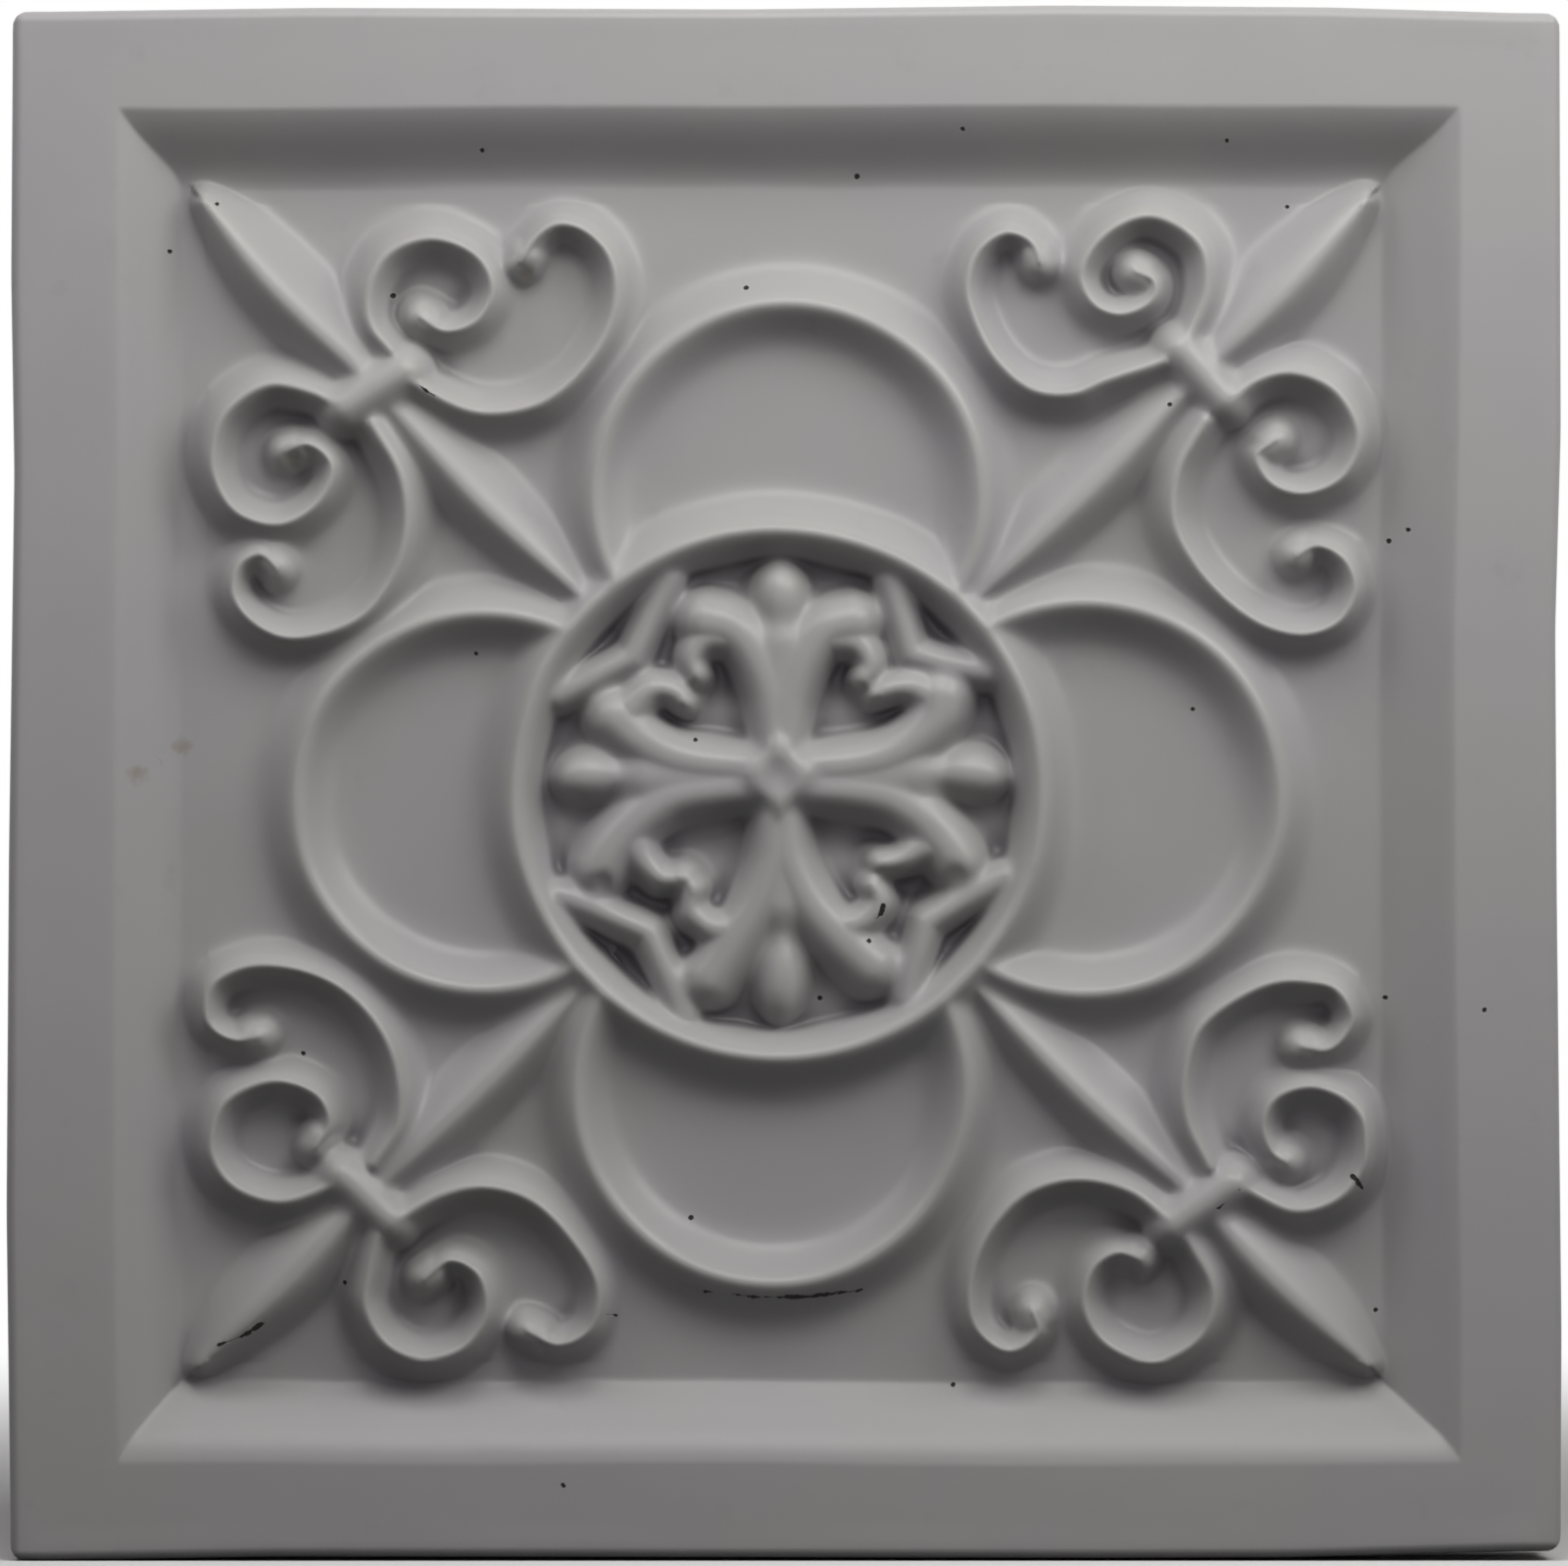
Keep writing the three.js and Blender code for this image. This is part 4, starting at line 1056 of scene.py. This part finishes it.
def make_slab(material):
    """Block with a grooved back, slightly uneven sides and a recess for the medallion."""
    across = grid_lines(3 * STEP, inner=92, flat_step=2)
    up = grid_lines(2 * STEP, inner=92, flat_step=2)
    x, z = np.meshgrid(across, up)
    rough = SLAB_ROUGH * (1 + waves(x, z, 5, 30, SEED + 5))
    rough = rough + SLAB_DRAG * (1 + waves(x * 0.2, z, 1.5, 4, SEED + 6))
    depth = np.maximum(edge_fall(x, z), groove_depth(z)) + np.clip(rough, 0, None)
    inset = 1 - CLAY_INSET / HALF
    back_x, back_z = placed(x, z)
    back = np.stack([back_x * inset, BACK_Y - depth, back_z * inset], axis=2).reshape(-1, 3)
    ids = np.arange(x.size).reshape(x.shape)
    a, b, c, d = cells(ids)
    faces = [np.stack([c, b, a], 1), np.stack([d, c, a], 1)]

    rim = np.concatenate([ids[0, :-1], ids[:-1, -1], ids[-1, :0:-1], ids[:0:-1, 0]])
    front_y = GROUND_Y + SKIN_DEPTH
    points = [back]
    total = len(back)
    row = rim
    for k in range(1, SIDE_ROWS + 1):
        share = k / SIDE_ROWS
        level = back[rim].copy()
        level[:, 1] = back[rim, 1] * (1 - share) + front_y * share
        way = np.arctan2(level[:, 2], level[:, 0]) * SIDE_WAY
        dent = SLAB_DENT * (1 + waves(way, level[:, 1], 2.5, 25, SEED + 7)) * math.sin(math.pi * share)
        level[:, [0, 2]] *= 1 - np.clip(dent, 0, None)[:, None] / HALF
        points.append(level)
        new_row = total + np.arange(len(rim))
        total += len(rim)
        after, new_after = np.roll(row, -1), np.roll(new_row, -1)
        faces += [np.stack([row, after, new_after], 1), np.stack([row, new_after, new_row], 1)]
        row = new_row

    turns = np.linspace(0, 2 * math.pi, RECESS_POINTS, endpoint=False)
    radius = RING_FOOT + 1
    circle = np.stack([radius * np.cos(turns), 0 * turns, radius * np.sin(turns)], 1)
    recess = []
    for y in (front_y, front_y - MEDALLION_FLOOR + POCKET_DEPTH):
        recess.append(total + np.arange(RECESS_POINTS))
        points.append(circle + [RING_X, y, RING_Z])
        total += RECESS_POINTS
    points = np.vstack(points)
    mouth, foot = recess
    mouth_after, foot_after = np.roll(mouth, -1), np.roll(foot, -1)
    faces += [np.stack([mouth, mouth_after, foot_after], 1), np.stack([mouth, foot_after, foot], 1)]
    plate = filled([row.tolist(), mouth.tolist()[::-1]], points)[:, ::-1]
    floor = filled([foot.tolist()], points)[:, ::-1]
    return make_object("base_slab_body", points, np.vstack(faces + [plate, floor]), material)


# Materials

GLAZE_WARM = (0.364, 0.358, 0.355, 1)
GLAZE_COOL = (0.348, 0.341, 0.353, 1)
# Lighter and warmer over the crests: thin glaze and painted highlight; also the thin glaze round
# pinholes
GLAZE_THIN_AND_HIGHLIGHT = (0.405, 0.4, 0.384, 1)
# Darker and more violet in the hollows, darkest in the deep ones: pooled glaze and painted shade
GLAZE_POOL_AND_SHADE = (0.195, 0.184, 0.197, 1)
GLAZE_DEEP_POOL_AND_SHADE = (0.085, 0.079, 0.09, 1)
BROWN_SPOT = (0.2, 0.17, 0.12, 1)
# Near black in the pinholes, where the glaze is open, and along the lines of painted shade
GAP_AND_SHADE = (0.02, 0.018, 0.016, 1)
CLAY = (0.46, 0.29, 0.17, 1)
CLAY_DARK = (0.37, 0.22, 0.125, 1)
CLAY_PALE = (0.56, 0.4, 0.27, 1)

# Millimetres below the smoothed surface at which the pooled glaze and painted shade start and are full,
# at which the darkest pooled glaze and painted shade start and are full, and at which thin glaze and
# painted highlight do, over crests
POOL_AND_SHADE = (0.8, 2.3)
DEEP_POOL_AND_SHADE = (1.0, 2.2)
THIN_AND_HIGHLIGHT = (-0.3, -1.2)

# Millimetres from the middle of a brown spot, a pinhole or a line of painted shade where it begins and
# where it is full
BROWN_SPOT_RIM = (1.7, 0.2)
HOLE_HALO = (0.8, 0.3)
HOLE_RIM = (0.36, 0.18)
SHADE_LINE_RIM = (0.12, -0.04)

# Metres along Y between which the glaze that ran over the edge ends
RUN_END = (0.0062, 0.0054)


class Nodes:
    """Short ways to build up the nodes of a material or of the world."""

    def __init__(self, owner, coordinates="Object"):
        owner.use_nodes = True
        self.nodes = owner.node_tree.nodes
        self.links = owner.node_tree.links
        self.place = self.new("TexCoord").outputs[coordinates]

    def feed(self, socket, source):
        if isinstance(source, bpy.types.NodeSocket):
            self.links.new(source, socket)
        else:
            socket.default_value = source

    def new(self, kind, *sources, **settings):
        """A new node with its first inputs taken from other nodes, or set to numbers or vectors."""
        node = self.nodes.new("ShaderNode" + kind)
        for key, value in settings.items():
            setattr(node, key, value)
        for socket, source in zip(node.inputs, sources):
            self.feed(socket, source)
        return node

    def math(self, operation, *sources):
        return self.new("Math", *sources, operation=operation).outputs[0]

    def times(self, value, factor):
        return self.math("MULTIPLY", value, factor)

    def length(self, vector):
        return self.new("VectorMath", vector, operation="LENGTH").outputs["Value"]

    def noise(self, scale, detail, roughness, stretch=None):
        node = self.new("TexNoise", self.place)
        if stretch is not None:
            stretched = self.new("VectorMath", self.place, stretch, operation="MULTIPLY")
            self.links.new(stretched.outputs[0], node.inputs["Vector"])
        node.inputs["Scale"].default_value = scale
        node.inputs["Detail"].default_value = detail
        node.inputs["Roughness"].default_value = roughness
        return node.outputs["Fac"]

    def spread(self, value, low, high, to_low=0.0, to_high=1.0):
        """A value brought smoothly from one range to another and held within it."""
        sources = value, low, high, to_low, to_high
        return self.new("MapRange", *sources, interpolation_type="SMOOTHSTEP").outputs["Result"]

    def mixed(self, share, first, second):
        node = self.new("Mix", share, data_type="RGBA")
        self.feed(node.inputs[6], first)
        self.feed(node.inputs[7], second)
        return node.outputs[2]

    def attribute(self, name):
        return self.new("Attribute", attribute_name=name)

    def way_to(self, mark_name):
        return self.length(self.attribute(mark_name).outputs["Vector"])

    def surface(self, colour, roughness, height):
        """Colour, roughness and relief in millimetres of the material's own surface."""
        shader = self.nodes["Principled BSDF"]
        self.feed(shader.inputs["Base Color"], colour)
        self.feed(shader.inputs["Roughness"], roughness)
        bump = self.new("Bump")
        bump.inputs["Distance"].default_value = MM
        self.links.new(height, bump.inputs["Height"])
        self.links.new(bump.outputs["Normal"], shader.inputs["Normal"])
        return shader

    def shown_share(self, behind=None):
        """1 for rays that show the surroundings: to the camera, in a reflection or through glass.
        The last two can be kept to what lies behind the object."""
        rays = self.new("LightPath").outputs
        either = self.math("MAXIMUM", rays["Is Glossy Ray"], rays["Is Transmission Ray"])
        if behind is not None:
            either = self.times(either, behind)
        return self.math("MAXIMUM", rays["Is Camera Ray"], either)

    def show(self, plain, shown, share, output):
        """Ends the tree: one shader in general, and another where the share is 1."""
        mix = self.new("MixShader", share, plain.outputs[0], shown.outputs[0])
        self.links.new(mix.outputs[0], self.nodes[output].inputs["Surface"])


def make_glaze():
    """Pale grey glaze: lighter and warm over the crests, as thin glaze and painted highlight, and
    darker and more violet in the hollows, as thick pooled glaze and painted shade.
    """
    material = bpy.data.materials.new("glaze")
    mix = Nodes(material)
    cloud = mix.noise(28, 3, 0.55)
    grain = mix.noise(160, 3, 0.6)
    hollow = mix.attribute("hollow").outputs["Fac"]
    patchy = mix.math("ADD", hollow, mix.spread(cloud, 0.2, 0.8, -0.12, 0.12))
    body = mix.mixed(mix.spread(cloud, 0.3, 0.7), GLAZE_COOL, GLAZE_WARM)
    # Darker and more violet in the hollows, darkest in the deep ones: pooled glaze and painted shade
    body = mix.mixed(mix.spread(patchy, *POOL_AND_SHADE, 0, 0.65), body, GLAZE_POOL_AND_SHADE)
    body = mix.mixed(mix.spread(patchy, *DEEP_POOL_AND_SHADE, 0, 0.7), body, GLAZE_DEEP_POOL_AND_SHADE)
    # Lighter and warmer over the crests: thin glaze and painted highlight
    body = mix.mixed(mix.spread(patchy, *THIN_AND_HIGHLIGHT, 0, 0.4), body, GLAZE_THIN_AND_HIGHLIGHT)
    # Fine darker specks at random, in the colour of the pooled glaze
    body = mix.mixed(mix.spread(grain, 0.62, 0.8, 0, 0.12), body, GLAZE_POOL_AND_SHADE)

    ragged = mix.noise(900, 2, 0.5)
    hole = mix.math("ADD", mix.way_to("pinhole"), mix.spread(ragged, 0.2, 0.8, -0.1, 0.1))
    brown_spot = mix.math("ADD", mix.way_to("brown_spot"), mix.spread(ragged, 0.2, 0.8, -0.4, 0.4))
    width = mix.spread(mix.noise(330, 3, 0.6), 0.35, 0.7, -0.2, 0.32)
    # Lines of painted shade in creases and under ridges
    shade_line = mix.math("SUBTRACT", mix.way_to("shade_line"), width)
    # Darker brown round the brown spots
    body = mix.mixed(mix.spread(brown_spot, *BROWN_SPOT_RIM, 0, 0.5), body, BROWN_SPOT)
    # A pale halo of thin glaze round each pinhole
    body = mix.mixed(mix.spread(hole, *HOLE_HALO, 0, 0.3), body, GLAZE_THIN_AND_HIGHLIGHT)
    # Near black in the pinholes, where the glaze is open, and along the lines of painted shade
    gap_and_shade = mix.math("MAXIMUM", mix.spread(hole, *HOLE_RIM), mix.spread(shade_line, *SHADE_LINE_RIM))
    body = mix.mixed(gap_and_shade, body, GAP_AND_SHADE)
    sheen = mix.math("ADD", mix.spread(cloud, 0.2, 0.8, 0.29, 0.36), mix.times(gap_and_shade, 0.4))
    ripple = mix.times(mix.noise(90, 2, 0.5), 0.12)
    height = mix.math("ADD", ripple, mix.times(grain, 0.03))
    shader = mix.surface(body, sheen, mix.math("SUBTRACT", height, mix.times(gap_and_shade, 0.35)))
    shader.inputs["IOR"].default_value = 1.45
    shader.inputs["Specular IOR Level"].default_value = 0.35
    return material


def make_clay():
    """Fired clay, rough and mottled, with glaze that ran over the tile's edge."""
    material = bpy.data.materials.new("clay")
    mix = Nodes(material)
    cloud = mix.noise(22, 4, 0.6)
    grain = mix.noise(420, 3, 0.65)
    drag = mix.noise(60, 3, 0.6, (1, 1, 9))
    body = mix.mixed(mix.spread(cloud, 0.3, 0.7), CLAY_DARK, CLAY)
    body = mix.mixed(mix.spread(drag, 0.5, 0.75, 0, 0.45), body, CLAY_PALE)
    body = mix.mixed(mix.spread(grain, 0.6, 0.75, 0, 0.6), body, CLAY_DARK)
    depth = mix.new("SeparateXYZ", mix.place).outputs["Y"]
    reach = mix.math("ADD", depth, mix.times(mix.noise(45, 3, 0.6), 0.012))
    run = mix.spread(reach, *RUN_END)
    body = mix.mixed(run, body, GLAZE_WARM)
    height = mix.math("ADD", mix.times(grain, 0.16), mix.times(drag, 0.3))
    height = mix.math("ADD", height, mix.times(run, 0.25))
    mix.surface(body, mix.spread(run, 0, 1, 0.88, 0.35), height)
    return material


glaze = make_glaze()
clay = make_clay()


# Pieces of the skin

IN_MEDALLION = ("centre_ring", "medallion_ground", "cross_boss", "cusp_", "bud_", "frond_")
for i, name in enumerate(names):
    faces = skin[skin_owner == i]
    if not len(faces):
        continue
    deepest = MEDALLION_FLOOR - POCKET_DEPTH if name.startswith(IN_MEDALLION) else 0
    piece = closed_piece(name + "_skin", faces, deepest - SKIN_DEPTH, glaze)
    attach(piece, "root")
    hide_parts("base_slab" if name.endswith("_ground") else name)


slab = make_slab(clay)
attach(slab, "root")
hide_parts("base_slab")


# Stage, camera and light

FLOOR_REACH = 20.0
FLOOR_NEAR = 0.15  # metres from the tile at which the floor starts to turn into the backdrop
FLOOR_FAR = 0.7


def make_floor():
    mesh = bpy.data.meshes.new("floor")
    corners = [(x * FLOOR_REACH, y * FLOOR_REACH, 0) for x, y in ((-1, -1), (1, -1), (1, 1), (-1, 1))]
    mesh.from_pydata(corners, [], [(0, 1, 2, 3)])
    material = bpy.data.materials.new("floor")
    mix = Nodes(material)
    near = mix.nodes["Principled BSDF"]
    near.inputs["Base Color"].default_value = (0.8, 0.8, 0.8, 1)
    near.inputs["Roughness"].default_value = 0.9
    farther = mix.spread(mix.length(mix.place), FLOOR_NEAR, FLOOR_FAR)
    pale = mix.new("MixShader", farther, near.outputs[0], mix.new("Emission").outputs[0])
    dark = mix.new("BsdfDiffuse", (0.05, 0.05, 0.05, 1))
    mix.show(dark, pale, mix.shown_share(), "Material Output")
    mesh.materials.append(material)
    floor = shown("floor", mesh)


def make_world():
    world = bpy.data.worlds.new("surroundings")
    bpy.context.scene.world = world
    mix = Nodes(world, "Generated")
    dim = mix.nodes["Background"]
    dim.inputs["Color"].default_value = (1, 1, 1, 1)
    dim.inputs["Strength"].default_value = FILL
    white = mix.new("Background", (1, 1, 1, 1))
    behind = mix.math("GREATER_THAN", mix.new("SeparateXYZ", mix.place).outputs["Y"], 0)
    mix.show(dim, white, mix.shown_share(behind), "World Output")


WARM = (1.0, 0.99, 0.965)
VIOLET = (1.0, 0.965, 1.0)
FILL = 0.006  # strength of the world

# Lamps: place in metres, side of the square, watts and colour
LAMPS = {
    "key": ((0.25, -0.35, 0.45), 0.3, 0.72, WARM),
    "near_top": ((0, -0.2, 0.38), 0.2, 0.59, WARM),
    "near_right": ((0.3, -0.15, 0.35), 0.2, 0.58, WARM),
    "near_left": ((-0.3, -0.15, 0.35), 0.2, 0.28, VIOLET),
    "raking": ((-0.25, -0.12, 0.55), 0.2, 0.26, VIOLET),
    "low_right": ((0.5, -0.15, 0.15), 0.2, 0.08, VIOLET),
    "front": ((0, -1.0, 0.3), 0.6, 0.79, VIOLET),
}


def make_lamps():
    middle = (cad_low + cad_high) / 2
    for name, (place, size, power, colour) in LAMPS.items():
        data = bpy.data.lights.new(name, "AREA")
        data.energy = power
        data.size = size
        data.color = colour
        lamp = shown(name, data)
        lamp.location = place
        lamp.rotation_euler = (middle - Vector(place)).to_track_quat("-Z", "Y").to_euler()


def make_camera():
    frame_width = 201.5 * MM
    distance = 1.8
    data = bpy.data.cameras.new("camera")
    data.sensor_width = 36
    data.lens = data.sensor_width * distance / frame_width
    data.clip_end = 100
    camera = shown("camera", data)
    camera.location = (0, cad_low.y - distance, (cad_low.z + cad_high.z) / 2)
    camera.rotation_euler = (math.pi / 2, 0, 0)
    bpy.context.scene.camera = camera


make_floor()
make_world()
make_lamps()
make_camera()
bpy.context.scene.view_settings.view_transform = "Standard"
